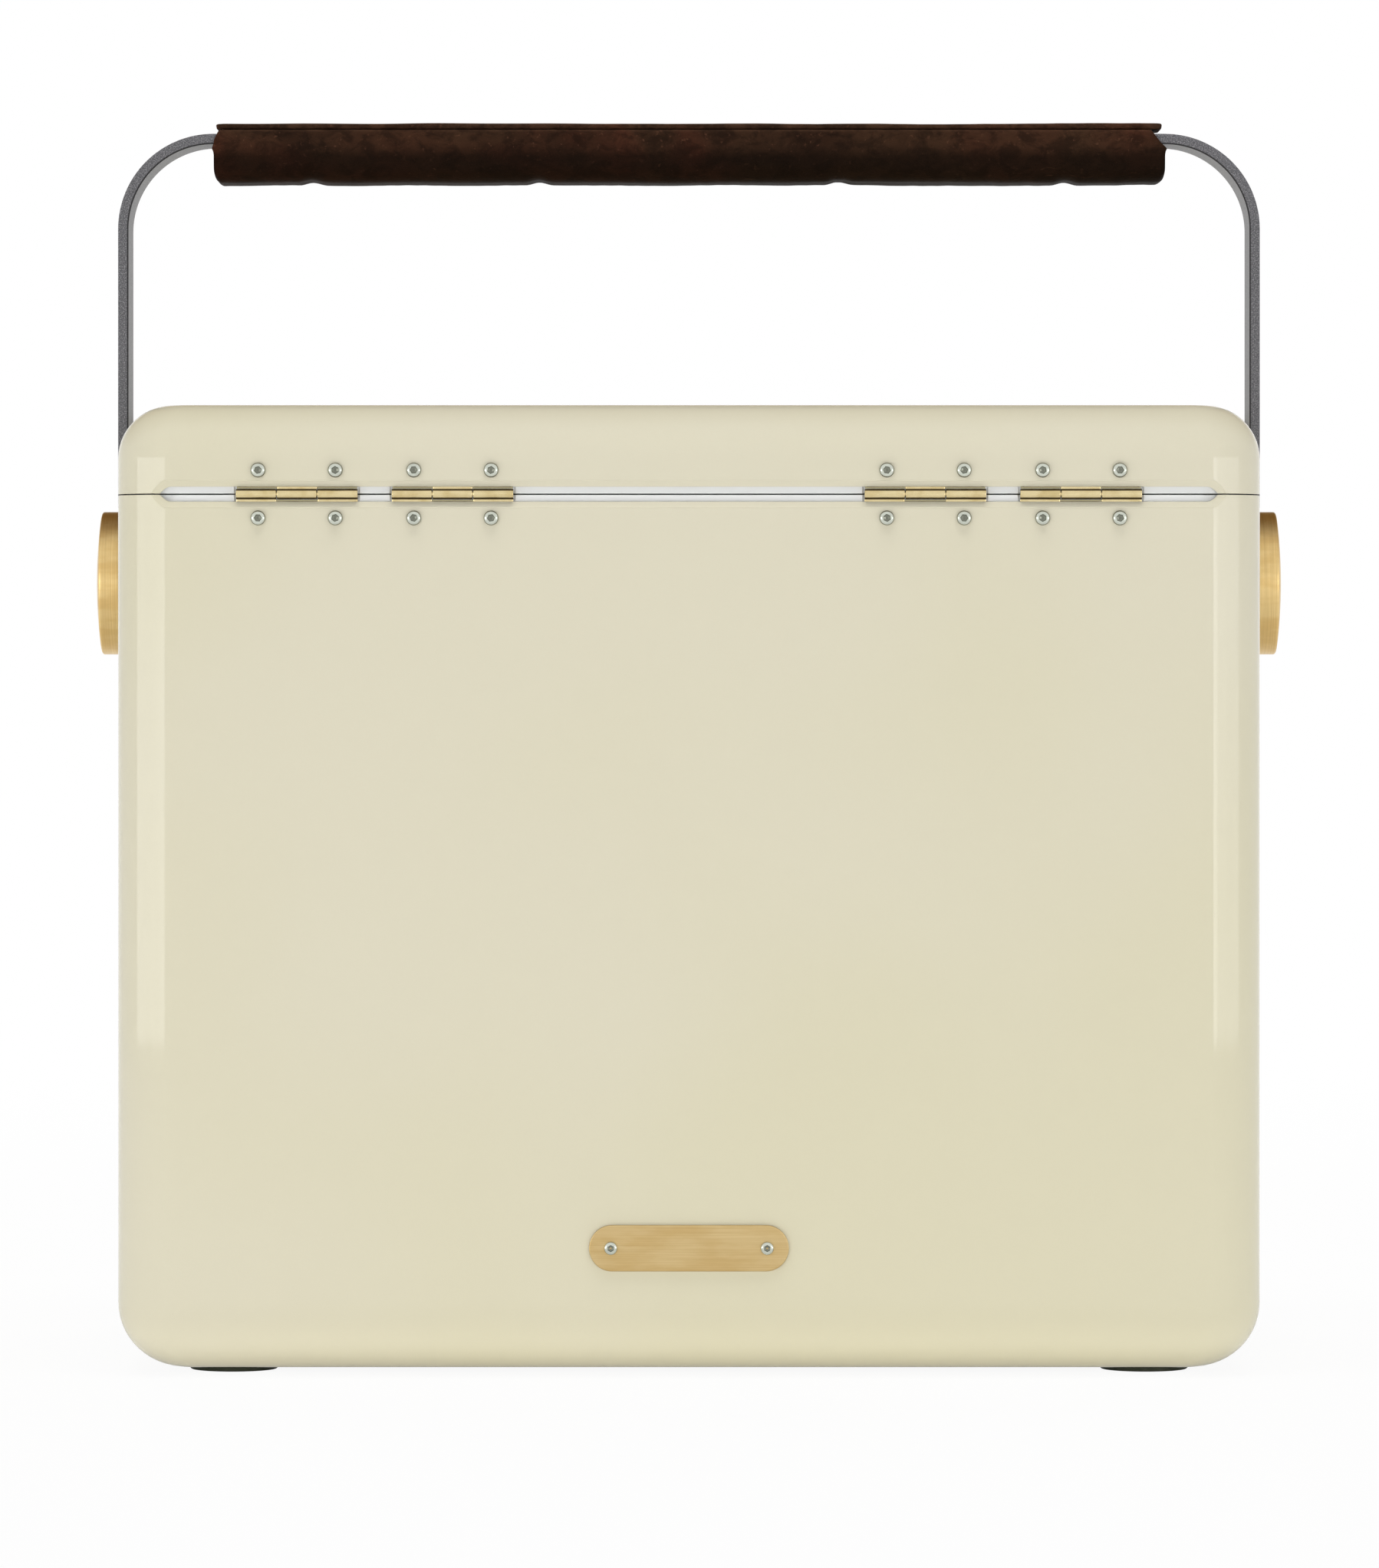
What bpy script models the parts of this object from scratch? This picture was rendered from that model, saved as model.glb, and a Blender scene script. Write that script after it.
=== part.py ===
"""A hard-sided cooler box: painted body and lid, four butt hinges, a swinging bail handle, a turn latch.

Frame: metres, +Z up, X along the width, -Y towards the hinges and +Y towards the latch, with the
origin on the floor under the middle of the box. The body, the lid, the handle and the latch are
each built in a frame of their own: the floor, the split plane, the handle's pivot and the latch's
shaft. Every wall is a run of level rounded rectangles, given by how far they are set in from the
outer skin, so the shells, the foam and the liners all follow the same outline.
"""

import math

import bmesh
import bpy
import numpy as np
from mathutils import Matrix, Vector

# Box, outside
BOX_WIDTH = 0.3600
BOX_DEPTH = 0.2400
BODY_HEIGHT = 0.2752
LID_HEIGHT = 0.0284
SPLIT_GAP = 0.0007
EDGE_RADIUS = 0.0180
BASE_BEND = 0.0210
LID_BEND = 0.0170
CORNER_SHARE = 0.7
SHEET = 0.0012
CLEARANCE = 0.0003
CUT_OVERRUN = 0.0030

# Liner, rim and plug
WALL = 0.0210
FLOOR_WALL = 0.0210
LINER = 0.0020
LINER_EDGE_RADIUS = 0.0120
LINER_BEND = 0.0150
RIM_FLANGE = 0.0025
RIM_LIP_DEPTH = 0.0055
RIM_LIP = 0.0025
RIM_CHAMFER = 0.0012
LID_FLANGE = 0.0035
PLUG_DEPTH = 0.0080
PLUG_CLEARANCE = 0.0015
PLUG_BEND = 0.0035
FOAM_RELIEF = 0.0012
FOAM_RELIEF_DEPTH = 0.0300

# Seal
SEAL_WIDTH = 0.0040
SEAL_GROOVE_DEPTH = 0.0020
SEAL_FROM_MOUTH = 0.0030
SEAL_NOSE = 0.0010

# Channel along the hinge side of the split
CHANNEL_FROM_SIDE = 0.0142
CHANNEL_HEIGHT = 0.0040
CHANNEL_MOUTH = 0.0077
CHANNEL_SLOPE_DEPTH = 0.0010
CHANNEL_END_RADIUS = 0.0019
FINGER_LENGTH = 0.0500
FINGER_CENTRE = 0.0560

# Hinges
HINGE_LENGTH = 0.0381
HINGE_PAIR_FROM_SIDE = 0.0815
HINGE_PAIR_SPACING = 0.0488
KNUCKLES = 3
LEAF = 0.0008
LEAF_HEIGHT = 0.0110
LEAF_CORNER = 0.0020
BARREL_RADIUS = 0.0016
CURL_END_DEG = 285.0
PIN_CLEARANCE = 0.00015
PIN_DOME = 0.0003
KNUCKLE_GAP = 0.0003

# Button-head screws through the hinge leaves
SCREW_PITCH = 0.0242
SCREW_RISE = 0.0075
SCREW_HEAD_RADIUS = 0.00235
SCREW_HEAD_HEIGHT = 0.0014
SCREW_HEAD_EDGE = 0.0004
SCREW_FLAT_RADIUS = 0.0013
SCREW_RADIUS = 0.0013
SCREW_LENGTH = 0.0033
SOCKET_RADIUS = 0.0009
SOCKET_DEPTH = 0.0007

# Handle
ARM_STANDOFF = 0.0027
BAIL_BAR = 0.0034
BAIL_WIDTH = 0.0250
BAIL_PAST_FACE = 0.0264
BAIL_BEND = 0.0310
BAIL_CHAMFER = 0.0005
GRIP_FROM_BEND = 0.0004
GRIP_PAST_BAR = 0.0020
GRIP_DROP = 0.0166
GRIP_LEATHER_TOP = 0.0010
GRIP_LEATHER_BASE = 0.0018
GRIP_LOW_RADIUS = 0.0070
GRIP_TOP_RADIUS = 0.0020
GRIP_END_RADIUS = 0.0015
GRIP_CORE_INSET = 0.0040
GRIP_END_TOP_SETBACK = 0.0010
GRIP_END_TOP_FALL = 0.0050
GRIP_END_LOW_SETBACK = 0.0028
GRIP_END_LOW_RISE = 0.0070
GRIP_END_EASE = 0.0080
STRIP_INSIDE_BAR = 0.0005
STRIP_THICKNESS = 0.0018
STRIP_END_SETBACK = 0.0004
STRIP_CORNER = 0.0050
STRIP_ROUND = 0.0008
DIMPLE_FROM_END = 0.0317
DIMPLE_SPACING = 0.0740
DIMPLE_DEPTH = 0.0008
DIMPLE_HALF_LENGTH = 0.0048

# Handle pivots
BOLT_RADIUS = 0.0030
BOLT_HEAD_RADIUS = 0.0055
BOLT_HEAD_HEIGHT = 0.0035
BUSH_WALL = 0.0018
BUSH_FLANGE_RADIUS = 0.0110
BACKING_RADIUS = 0.0180
BACKING = 0.0020
BACKING_BELOW_LIP = 0.0034
CAP_RADIUS = 0.0233
CAP_RIM = 0.0054
CAP_CROWN = 0.0016
CAP_EDGE = 0.0006
CAP_BORE_END = 0.0005

# Feet
FOOT_HEIGHT = 0.0018
FOOT_RADIUS = 0.0143
FOOT_CHAMFER = 0.0008
FOOT_SPIGOT_RADIUS = 0.0040
FOOT_FROM_SIDE_BEND = 0.0002
FOOT_FROM_FACE_BEND = 0.0027

# Name plate
PLATE_LENGTH = 0.0626
PLATE_HEIGHT = 0.0145
PLATE_THICKNESS = 0.0009
PLATE_CHAMFER = 0.0002
PLATE_RISE = 0.0390
PLATE_SCREW_FROM_END = 0.0068
PLATE_SCREW_HEAD_RADIUS = 0.00205
PLATE_SCREW_HEAD_HEIGHT = 0.0009
PLATE_SCREW_RADIUS = 0.0010

# Turn latch
ESCUTCHEON_RADIUS = 0.0138
ESCUTCHEON_BELOW_SPLIT = 0.0002
ESCUTCHEON = 0.0010
LATCH_BUSH_WALL = 0.0013
LATCH_SHAFT_RADIUS = 0.0030
LATCH_KNOB_RADIUS = 0.0118
LATCH_KNOB_HEIGHT = 0.0022
LATCH_KNOB_EDGE = 0.0005
THUMB_LENGTH = 0.0190
THUMB_WIDTH = 0.0050
THUMB_HEIGHT = 0.0021
THUMB_EDGE = 0.0006
LATCH_SQUARE = 0.0036
LATCH_SQUARE_REST = 0.0003
HOOK_PLATE = 0.0008
HOOK_HUB_RADIUS = 0.0060
HOOK_KEEPER_GAP = 0.0005
HOOK_FINGER = 0.0030
HOOK_ARM_LEAD_DEG = -8.0
HOOK_ARM_TRAIL_DEG = -28.0
HOOK_FINGER_LEAD_DEG = 11.0
LATCH_SCREW_RADIUS = 0.0007
LATCH_SCREW_HEAD_RADIUS = 0.0034
LATCH_SCREW_HEAD = 0.0010
LATCH_SCREW_GRIP = 0.0024
KEEPER_ABOVE_SPLIT = 0.0040
KEEPER_RADIUS = 0.0016
KEEPER_HEAD_RADIUS = 0.0026
KEEPER_HEAD_HEIGHT = 0.0010

# Fineness of the facets
CORNER_STEPS = 4
BEND_STEPS = 4
CAP_STEPS = 24
TURN_STEPS = 16
SMALL_STEPS = 12
SCREW_STEPS = 10
HOLE_STEPS = 8
HEX_SIDES = 6
CURL_STEPS = 9
SECTION_STEPS = 3
HEAD_STEPS = 2
END_STEPS = 4
BAIL_BEND_STEPS = 8
DIMPLE_SHARES = (-1.0, -0.6, -0.3, 0.0, 0.3, 0.6, 1.0)
SHARP_DEG = 40.0
WELD = 0.000001

# Levels and offsets that follow from the sizes above
BASE_Z = FOOT_HEIGHT
SPLIT_Z = BASE_Z + BODY_HEIGHT
HALF_GAP = SPLIT_GAP / 2
BACK_Y = -BOX_DEPTH / 2
FRONT_Y = BOX_DEPTH / 2
SIDE_X = BOX_WIDTH / 2
LEAF_INSET = SHEET + CLEARANCE
RIM_INSET = LEAF_INSET + LEAF + CLEARANCE
HINGE_Y = BACK_Y + LEAF_INSET + LEAF - BARREL_RADIUS
FOAM_INSET = SHEET + CLEARANCE
FOAM_RELIEF_INSET = SCREW_LENGTH + FOAM_RELIEF
LINER_FLOOR_Z = BASE_Z + FLOOR_WALL
PLUG_INSET = WALL + PLUG_CLEARANCE
PIVOT_Z = SPLIT_Z - RIM_LIP_DEPTH - BACKING_RADIUS - BACKING_BELOW_LIP
BAIL_HALF_WIDTH = SIDE_X + ARM_STANDOFF + BAIL_BAR
BAIL_REACH = FRONT_Y + BAIL_PAST_FACE
BUSH_RADIUS = BOLT_RADIUS + CLEARANCE + BUSH_WALL
CAP_BASE = ARM_STANDOFF + BAIL_BAR + CLEARANCE
LATCH_BELOW_SPLIT = ESCUTCHEON_RADIUS + ESCUTCHEON_BELOW_SPLIT
LATCH_Z = SPLIT_Z - LATCH_BELOW_SPLIT
LATCH_BUSH_RADIUS = LATCH_SHAFT_RADIUS + CLEARANCE + LATCH_BUSH_WALL
GRIP_TOP = BAIL_REACH + CLEARANCE + GRIP_LEATHER_TOP
GRIP_BASE = BAIL_REACH - GRIP_DROP
GRIP_HALF_LENGTH = BAIL_HALF_WIDTH - BAIL_BEND - GRIP_FROM_BEND
GRIP_WIDTH = BAIL_WIDTH + 2 * GRIP_PAST_BAR
STRIP_WIDTH = BAIL_WIDTH - 2 * STRIP_INSIDE_BAR
DIMPLE_OUTER = GRIP_HALF_LENGTH - DIMPLE_FROM_END
DIMPLE_INNER = DIMPLE_OUTER - DIMPLE_SPACING
CHANNEL_LENGTH = BOX_WIDTH - 2 * CHANNEL_FROM_SIDE
HINGE_PAIR_CENTRE = SIDE_X - HINGE_PAIR_FROM_SIDE
FOOT_X = SIDE_X - BASE_BEND - FOOT_RADIUS - FOOT_FROM_SIDE_BEND
FOOT_Y = FRONT_Y - BASE_BEND - FOOT_RADIUS - FOOT_FROM_FACE_BEND
PLATE_SCREW_X = PLATE_LENGTH / 2 - PLATE_SCREW_FROM_END
HOOK_INNER_RADIUS = LATCH_BELOW_SPLIT + KEEPER_ABOVE_SPLIT + KEEPER_RADIUS + HOOK_KEEPER_GAP

TOWARDS = {
    "+X": Matrix.Rotation(math.pi / 2, 4, "Y"),
    "-X": Matrix.Rotation(-math.pi / 2, 4, "Y"),
    "+Y": Matrix.Rotation(-math.pi / 2, 4, "X"),
    "-Y": Matrix.Rotation(math.pi / 2, 4, "X"),
    "+Z": Matrix.Identity(4),
}


# Meshes from rings

def mesh_of(points, faces):
    """A mesh of these points and faces, its doubles merged and its faces turned outwards."""
    bm = bmesh.new()
    corners = [bm.verts.new(point) for point in points]
    for face in faces:
        bm.faces.new([corners[i] for i in face])
    bmesh.ops.remove_doubles(bm, verts=bm.verts, dist=WELD)
    bmesh.ops.recalc_face_normals(bm, faces=bm.faces)
    mesh = bpy.data.meshes.new("shape")
    bm.to_mesh(mesh)
    bm.free()
    return mesh


def lofted(rings, closed=False):
    """A skin over rings of equally many points, capped at both ends or joined into a loop."""
    rings = np.asarray(rings)
    count, around = rings.shape[:2]
    index = np.arange(count * around).reshape(count, around)
    here = index if closed else index[:-1]
    there = np.roll(index, -1, axis=0) if closed else index[1:]
    sides = np.stack((here, np.roll(here, -1, axis=1), np.roll(there, -1, axis=1), there), axis=-1)
    faces = sides.reshape(-1, 4).tolist()
    if not closed:
        faces += [index[0][::-1].tolist(), index[-1].tolist()]
    return mesh_of(rings.reshape(-1, 3), faces)


def turned(profile, closed=False, steps=TURN_STEPS):
    """A (radius, height) profile turned about local Z. A closed profile leaves a bore."""
    turn = np.linspace(0, 2 * math.pi, steps, endpoint=False)
    radius, height = np.array(profile, dtype=float).T
    rings = np.empty((len(profile), steps, 3))
    rings[:, :, 0] = np.outer(radius, np.cos(turn))
    rings[:, :, 1] = np.outer(radius, np.sin(turn))
    rings[:, :, 2] = height[:, None]
    return lofted(rings, closed)


def extruded(outline, low, high):
    """An outline in local YZ carried along local X from low to high."""
    outline = np.asarray(outline, dtype=float)
    rings = [np.column_stack((np.full(len(outline), x), outline)) for x in (low, high)]
    return lofted(rings)


def rod(radius, start, end, towards, at, steps=HOLE_STEPS):
    """A plain cylinder between two distances along a direction from a point."""
    mesh = turned([(radius, start), (radius, end)], steps=steps)
    mesh.transform(Matrix.Translation(at) @ TOWARDS[towards])
    return mesh


def block(low, high):
    """A box between two opposite corners."""
    outline = [(low[1], low[2]), (high[1], low[2]), (high[1], high[2]), (low[1], high[2])]
    return extruded(outline, low[0], high[0])


def combined(mesh, others, operation="DIFFERENCE"):
    """The mesh with the other meshes cut out of it, or with them joined on, all in one go."""
    target = bpy.data.objects.new("target", mesh)
    bpy.context.scene.collection.objects.link(target)
    tools = bpy.data.collections.new("tools")
    bpy.context.scene.collection.children.link(tools)
    for other in others:
        tools.objects.link(bpy.data.objects.new("tool", other))
    boolean = target.modifiers.new("boolean", "BOOLEAN")
    boolean.operation = operation
    boolean.solver = "EXACT"
    boolean.operand_type = "COLLECTION"
    boolean.collection = tools
    seen = target.evaluated_get(bpy.context.evaluated_depsgraph_get())
    result = bpy.data.meshes.new_from_object(seen)
    for helper in [target, *tools.objects]:
        bpy.data.objects.remove(helper)
    bpy.data.collections.remove(tools)
    return result


# Outlines

def rounded_rectangle(half_a, half_b, radius, steps):
    """Corner points of a rounded rectangle, counter-clockwise from its first quarter."""
    turn = np.linspace(0, math.pi / 2, steps + 1)
    quarters = []
    for quarter, (side_a, side_b) in enumerate(((1, 1), (-1, 1), (-1, -1), (1, -1))):
        angle = turn + quarter * math.pi / 2
        a = side_a * (half_a - radius) + radius * np.cos(angle)
        b = side_b * (half_b - radius) + radius * np.sin(angle)
        quarters.append(np.column_stack((a, b)))
    return np.vstack(quarters)


def level_ring(half_x, half_y, radius, z, steps=CORNER_STEPS):
    """A level rounded rectangle at height z."""
    outline = rounded_rectangle(half_x, half_y, radius, steps)
    return np.column_stack((outline, np.full(len(outline), z)))


def edge_radius(inset):
    """Upright corner radius of a wall set in from the outer skin: concentric, then constant."""
    return max(EDGE_RADIUS - inset, LINER_EDGE_RADIUS)


def wall_ring(inset, z):
    """The box's level outline at height z, set in from the outer skin."""
    return level_ring(BOX_WIDTH / 2 - inset, BOX_DEPTH / 2 - inset, edge_radius(inset), z)


def bowl_rings(inset, bend, z, rise):
    """Rings from a flat base at height z round a quarter bend to an upright wall (rise is +1 or -1)."""
    edge = edge_radius(inset)
    rings = []
    for angle in np.linspace(0, math.pi / 2, BEND_STEPS + 1):
        lean = 1 - math.sin(angle)
        out = inset + bend * lean
        radius = edge - CORNER_SHARE * min(bend, edge) * lean
        height = z + rise * bend * (1 - math.cos(angle))
        rings.append(level_ring(BOX_WIDTH / 2 - out, BOX_DEPTH / 2 - out, radius, height))
    return rings


def channel_cutter(centre_x, length, outwards):
    """The split channel: a slot with round ends whose mouth flares at the outer skin."""
    flare = (CHANNEL_MOUTH - CHANNEL_HEIGHT) / 2
    rings = []
    for inset, grow in (
        (-CUT_OVERRUN, flare * (1 + CUT_OVERRUN / CHANNEL_SLOPE_DEPTH)),
        (CHANNEL_SLOPE_DEPTH, 0),
        (RIM_INSET, 0),
    ):
        half_long = length / 2 + grow
        half_high = CHANNEL_HEIGHT / 2 + grow
        outline = rounded_rectangle(half_long, half_high, CHANNEL_END_RADIUS + grow, END_STEPS)
        y = outwards * (BOX_DEPTH / 2 - inset)
        rings.append(np.column_stack((outline[:, 0] + centre_x, np.full(len(outline), y), outline[:, 1])))
    return lofted(rings)


def hinge_centres():
    """X of each hinge's middle, left to right in the view of the hinge side."""
    half = HINGE_PAIR_SPACING / 2
    return [side * HINGE_PAIR_CENTRE + step for side in (-1, 1) for step in (-half, half)]


def hinge_screw_places(x, rise):
    """The two screw places of one leaf."""
    return [(x - SCREW_PITCH / 2, rise), (x + SCREW_PITCH / 2, rise)]


# Body

def body_shell():
    """Painted outer shell of the body: a thin pan with the channel and its fixing holes."""
    rim = SPLIT_Z - HALF_GAP
    rings = bowl_rings(0, BASE_BEND, BASE_Z, 1)
    rings += [wall_ring(0, rim), wall_ring(SHEET, rim)]
    rings += bowl_rings(SHEET, BASE_BEND - SHEET, BASE_Z + SHEET, 1)[::-1]
    cutters = []
    for cutter in split_channels():
        cutter.transform(Matrix.Translation((0, 0, SPLIT_Z)))
        cutters.append(cutter)
    reach = (-CUT_OVERRUN, CUT_OVERRUN)
    for x in hinge_centres():
        for screw_x, rise in hinge_screw_places(x, -SCREW_RISE):
            hole_at = (screw_x, BACK_Y, SPLIT_Z + rise)
            cutters.append(rod(SCREW_RADIUS + CLEARANCE, *reach, "-Y", hole_at))
    for side, towards in ((-1, "-X"), (1, "+X")):
        bolt_at = (side * SIDE_X, 0, PIVOT_Z)
        cutters.append(rod(BOLT_RADIUS + CLEARANCE, *reach, towards, bolt_at, SMALL_STEPS))
        plate_hole = (side * PLATE_SCREW_X, BACK_Y, BASE_Z + PLATE_RISE)
        cutters.append(rod(PLATE_SCREW_RADIUS + CLEARANCE, *reach, "-Y", plate_hole))
    latch_at = (0, FRONT_Y, LATCH_Z)
    cutters.append(rod(LATCH_BUSH_RADIUS + CLEARANCE, *reach, "+Y", latch_at, TURN_STEPS))
    for x, y in foot_places().values():
        cutters.append(rod(FOOT_SPIGOT_RADIUS + CLEARANCE, *reach, "+Z", (x, y, BASE_Z), SMALL_STEPS))
    return combined(lofted(rings), cutters)


def split_channels():
    """Cutters for the hinge channel and the two finger channels, about the split plane."""
    fingers = [channel_cutter(side * FINGER_CENTRE, FINGER_LENGTH, 1) for side in (-1, 1)]
    return [channel_cutter(0, CHANNEL_LENGTH, -1), *fingers]


def body_liner():
    """White tub whose rim covers the foam and ends in a lip behind the shell's edge."""
    rim = SPLIT_Z - HALF_GAP
    rings = bowl_rings(WALL, LINER_BEND, LINER_FLOOR_Z, 1)
    rings += [
        wall_ring(WALL, rim - RIM_CHAMFER),
        wall_ring(WALL - RIM_CHAMFER, rim),
        wall_ring(RIM_INSET, rim),
        wall_ring(RIM_INSET, rim - RIM_LIP_DEPTH),
        wall_ring(RIM_INSET + RIM_LIP, rim - RIM_LIP_DEPTH),
        wall_ring(RIM_INSET + RIM_LIP, rim - RIM_FLANGE),
        wall_ring(WALL - LINER, rim - RIM_FLANGE),
    ]
    rings += bowl_rings(WALL - LINER, LINER_BEND + LINER, LINER_FLOOR_Z - LINER, 1)[::-1]
    return lofted(rings)


def body_insulation():
    """Foam between shell and liner, set back behind the rim for the hinge leaves and the latch."""
    rim = SPLIT_Z - HALF_GAP
    lip_foot = rim - RIM_LIP_DEPTH - CLEARANCE
    lip_back = max(RIM_INSET + RIM_LIP + CLEARANCE, FOAM_RELIEF_INSET)
    under_flange = rim - RIM_FLANGE - CLEARANCE
    inner = WALL - LINER - CLEARANCE
    rings = bowl_rings(FOAM_INSET, BASE_BEND - FOAM_INSET, BASE_Z + FOAM_INSET, 1)
    rings += [
        wall_ring(FOAM_INSET, rim - FOAM_RELIEF_DEPTH),
        wall_ring(FOAM_RELIEF_INSET, rim - FOAM_RELIEF_DEPTH),
        wall_ring(FOAM_RELIEF_INSET, lip_foot),
        wall_ring(lip_back, lip_foot),
        wall_ring(lip_back, under_flange),
        wall_ring(inner, under_flange),
    ]
    floor = LINER_FLOOR_Z - LINER - CLEARANCE
    rings += bowl_rings(inner, LINER_BEND + LINER + CLEARANCE, floor, 1)[::-1]
    pockets = []
    backing_depth = FOAM_INSET + BACKING + CLEARANCE
    head_depth = backing_depth + BOLT_HEAD_HEIGHT + CLEARANCE
    for side, towards in ((-1, "-X"), (1, "+X")):
        at = (side * SIDE_X, 0, PIVOT_Z)
        pockets.append(rod(BACKING_RADIUS + CLEARANCE, -backing_depth, 0, towards, at, TURN_STEPS))
        pockets.append(rod(BOLT_HEAD_RADIUS + CLEARANCE, -head_depth, 0, towards, at, SMALL_STEPS))
    return combined(lofted(rings), pockets)


def foot_places():
    """Foot names with their X and Y."""
    sides = (("left", -1), ("right", 1))
    ends = (("rear", -1), ("front", 1))
    return {f"foot_{end}_{side}": (sx * FOOT_X, sy * FOOT_Y) for end, sy in ends for side, sx in sides}


def foot():
    """Rubber foot with a chamfered tread and a spigot that plugs into the shell's floor."""
    top = FOOT_HEIGHT - CLEARANCE
    return turned([
        (FOOT_RADIUS - FOOT_CHAMFER, 0),
        (FOOT_RADIUS, FOOT_CHAMFER),
        (FOOT_RADIUS, top),
        (FOOT_SPIGOT_RADIUS, top),
        (FOOT_SPIGOT_RADIUS, FOOT_HEIGHT + SHEET),
    ])


def name_plate():
    """Bare brass plate with round ends and two screw holes, its face along local Z."""
    half_long, half_high = PLATE_LENGTH / 2, PLATE_HEIGHT / 2
    face = CLEARANCE + PLATE_THICKNESS
    rings = []
    for z, inset in ((CLEARANCE, 0), (face - PLATE_CHAMFER, 0), (face, PLATE_CHAMFER)):
        ring = level_ring(half_long - inset, half_high - inset, half_high - inset - WELD, z)
        rings.append(ring)
    holes = []
    for side in (-1, 1):
        at = (side * PLATE_SCREW_X, 0, 0)
        holes.append(rod(PLATE_SCREW_RADIUS + CLEARANCE, -CUT_OVERRUN, CUT_OVERRUN, "+Z", at))
    return combined(lofted(rings), holes)


def plate_screw():
    """Low domed screw of the name plate, its head seated on the plate."""
    seat = 2 * CLEARANCE + PLATE_THICKNESS
    shank = [(PLATE_SCREW_RADIUS, -SHEET), (PLATE_SCREW_RADIUS, seat)]
    head = dome(PLATE_SCREW_HEAD_RADIUS, PLATE_SCREW_HEAD_HEIGHT, seat)
    return turned(shank + head, steps=SMALL_STEPS)


def dome(radius, height, base):
    """Profile of a low dome from its rim to its crown."""
    angles = np.linspace(0, math.pi / 2, SECTION_STEPS + 1)
    return [(radius * math.cos(a), base + height * math.sin(a)) for a in angles]


# Lid, about the split plane

def lid_shell():
    """Painted lid: a shallow thin pan with the matching channel and its fixing holes."""
    rings = bowl_rings(0, LID_BEND, LID_HEIGHT, -1)
    rings += [wall_ring(0, HALF_GAP), wall_ring(SHEET, HALF_GAP)]
    rings += bowl_rings(SHEET, LID_BEND - SHEET, LID_HEIGHT - SHEET, -1)[::-1]
    cutters = split_channels()
    reach = (-CUT_OVERRUN, CUT_OVERRUN)
    for x in hinge_centres():
        for screw_x, rise in hinge_screw_places(x, SCREW_RISE):
            cutters.append(rod(SCREW_RADIUS + CLEARANCE, *reach, "-Y", (screw_x, BACK_Y, rise)))
    cutters.append(rod(KEEPER_RADIUS + CLEARANCE, *reach, "+Y", (0, FRONT_Y, KEEPER_ABOVE_SPLIT)))
    return combined(lofted(rings), cutters)


def lid_liner():
    """White underside of the lid: a plug for the body's mouth, a seal groove and an upturned lip."""
    face = HALF_GAP
    groove_in, groove_out = seal_insets(CLEARANCE)
    inner_plug = PLUG_INSET + LINER
    rings = bowl_rings(PLUG_INSET, PLUG_BEND, face - PLUG_DEPTH, 1)
    rings += [
        wall_ring(PLUG_INSET, face),
        wall_ring(groove_in, face),
        wall_ring(groove_in, face + SEAL_GROOVE_DEPTH),
        wall_ring(groove_out, face + SEAL_GROOVE_DEPTH),
        wall_ring(groove_out, face),
        wall_ring(RIM_INSET, face),
        wall_ring(RIM_INSET, face + RIM_LIP_DEPTH),
        wall_ring(RIM_INSET + RIM_LIP, face + RIM_LIP_DEPTH),
        wall_ring(RIM_INSET + RIM_LIP, face + LID_FLANGE),
        wall_ring(inner_plug, face + LID_FLANGE),
    ]
    rings += bowl_rings(inner_plug, PLUG_BEND - LINER, face - PLUG_DEPTH + LINER, 1)[::-1]
    return lofted(rings)


def seal_insets(room):
    """Inner and outer inset of the seal, or of its groove with room to spare."""
    inner = WALL - SEAL_FROM_MOUTH
    return inner + room, inner - SEAL_WIDTH - room


def lid_insulation():
    """Foam that fills the lid and its plug."""
    face = HALF_GAP
    outer = max(FOAM_RELIEF_INSET, RIM_INSET + RIM_LIP + CLEARANCE)
    inner = PLUG_INSET + LINER + CLEARANCE
    top = LID_HEIGHT - SHEET - CLEARANCE
    rings = bowl_rings(outer, LID_BEND - outer, top, -1)
    rings += [
        wall_ring(outer, face + LID_FLANGE + CLEARANCE),
        wall_ring(inner, face + LID_FLANGE + CLEARANCE),
    ]
    plug_floor = face - PLUG_DEPTH + LINER + CLEARANCE
    rings += bowl_rings(inner, PLUG_BEND - LINER - CLEARANCE, plug_floor, 1)[::-1]
    return lofted(rings)


def lid_seal():
    """Rubber ring in the lid liner's groove, its rounded nose just over the body's rim."""
    inner, outer = seal_insets(0)
    top = HALF_GAP + SEAL_GROOVE_DEPTH - CLEARANCE
    nose = CLEARANCE - HALF_GAP
    rings = [
        wall_ring(inner, top),
        wall_ring(inner, HALF_GAP),
        wall_ring(inner - SEAL_NOSE, nose),
        wall_ring(outer + SEAL_NOSE, nose),
        wall_ring(outer, HALF_GAP),
        wall_ring(outer, top),
    ]
    return lofted(rings, closed=True)


def latch_keeper():
    """Rivet in the lid's front wall whose shank the latch hook closes over, along local Z."""
    shank = [(KEEPER_RADIUS, -LEAF_INSET - HOOK_PLATE), (KEEPER_RADIUS, CLEARANCE)]
    return turned(shank + dome(KEEPER_HEAD_RADIUS, KEEPER_HEAD_HEIGHT, CLEARANCE), steps=SMALL_STEPS)


# Hinges, about the pin

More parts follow.
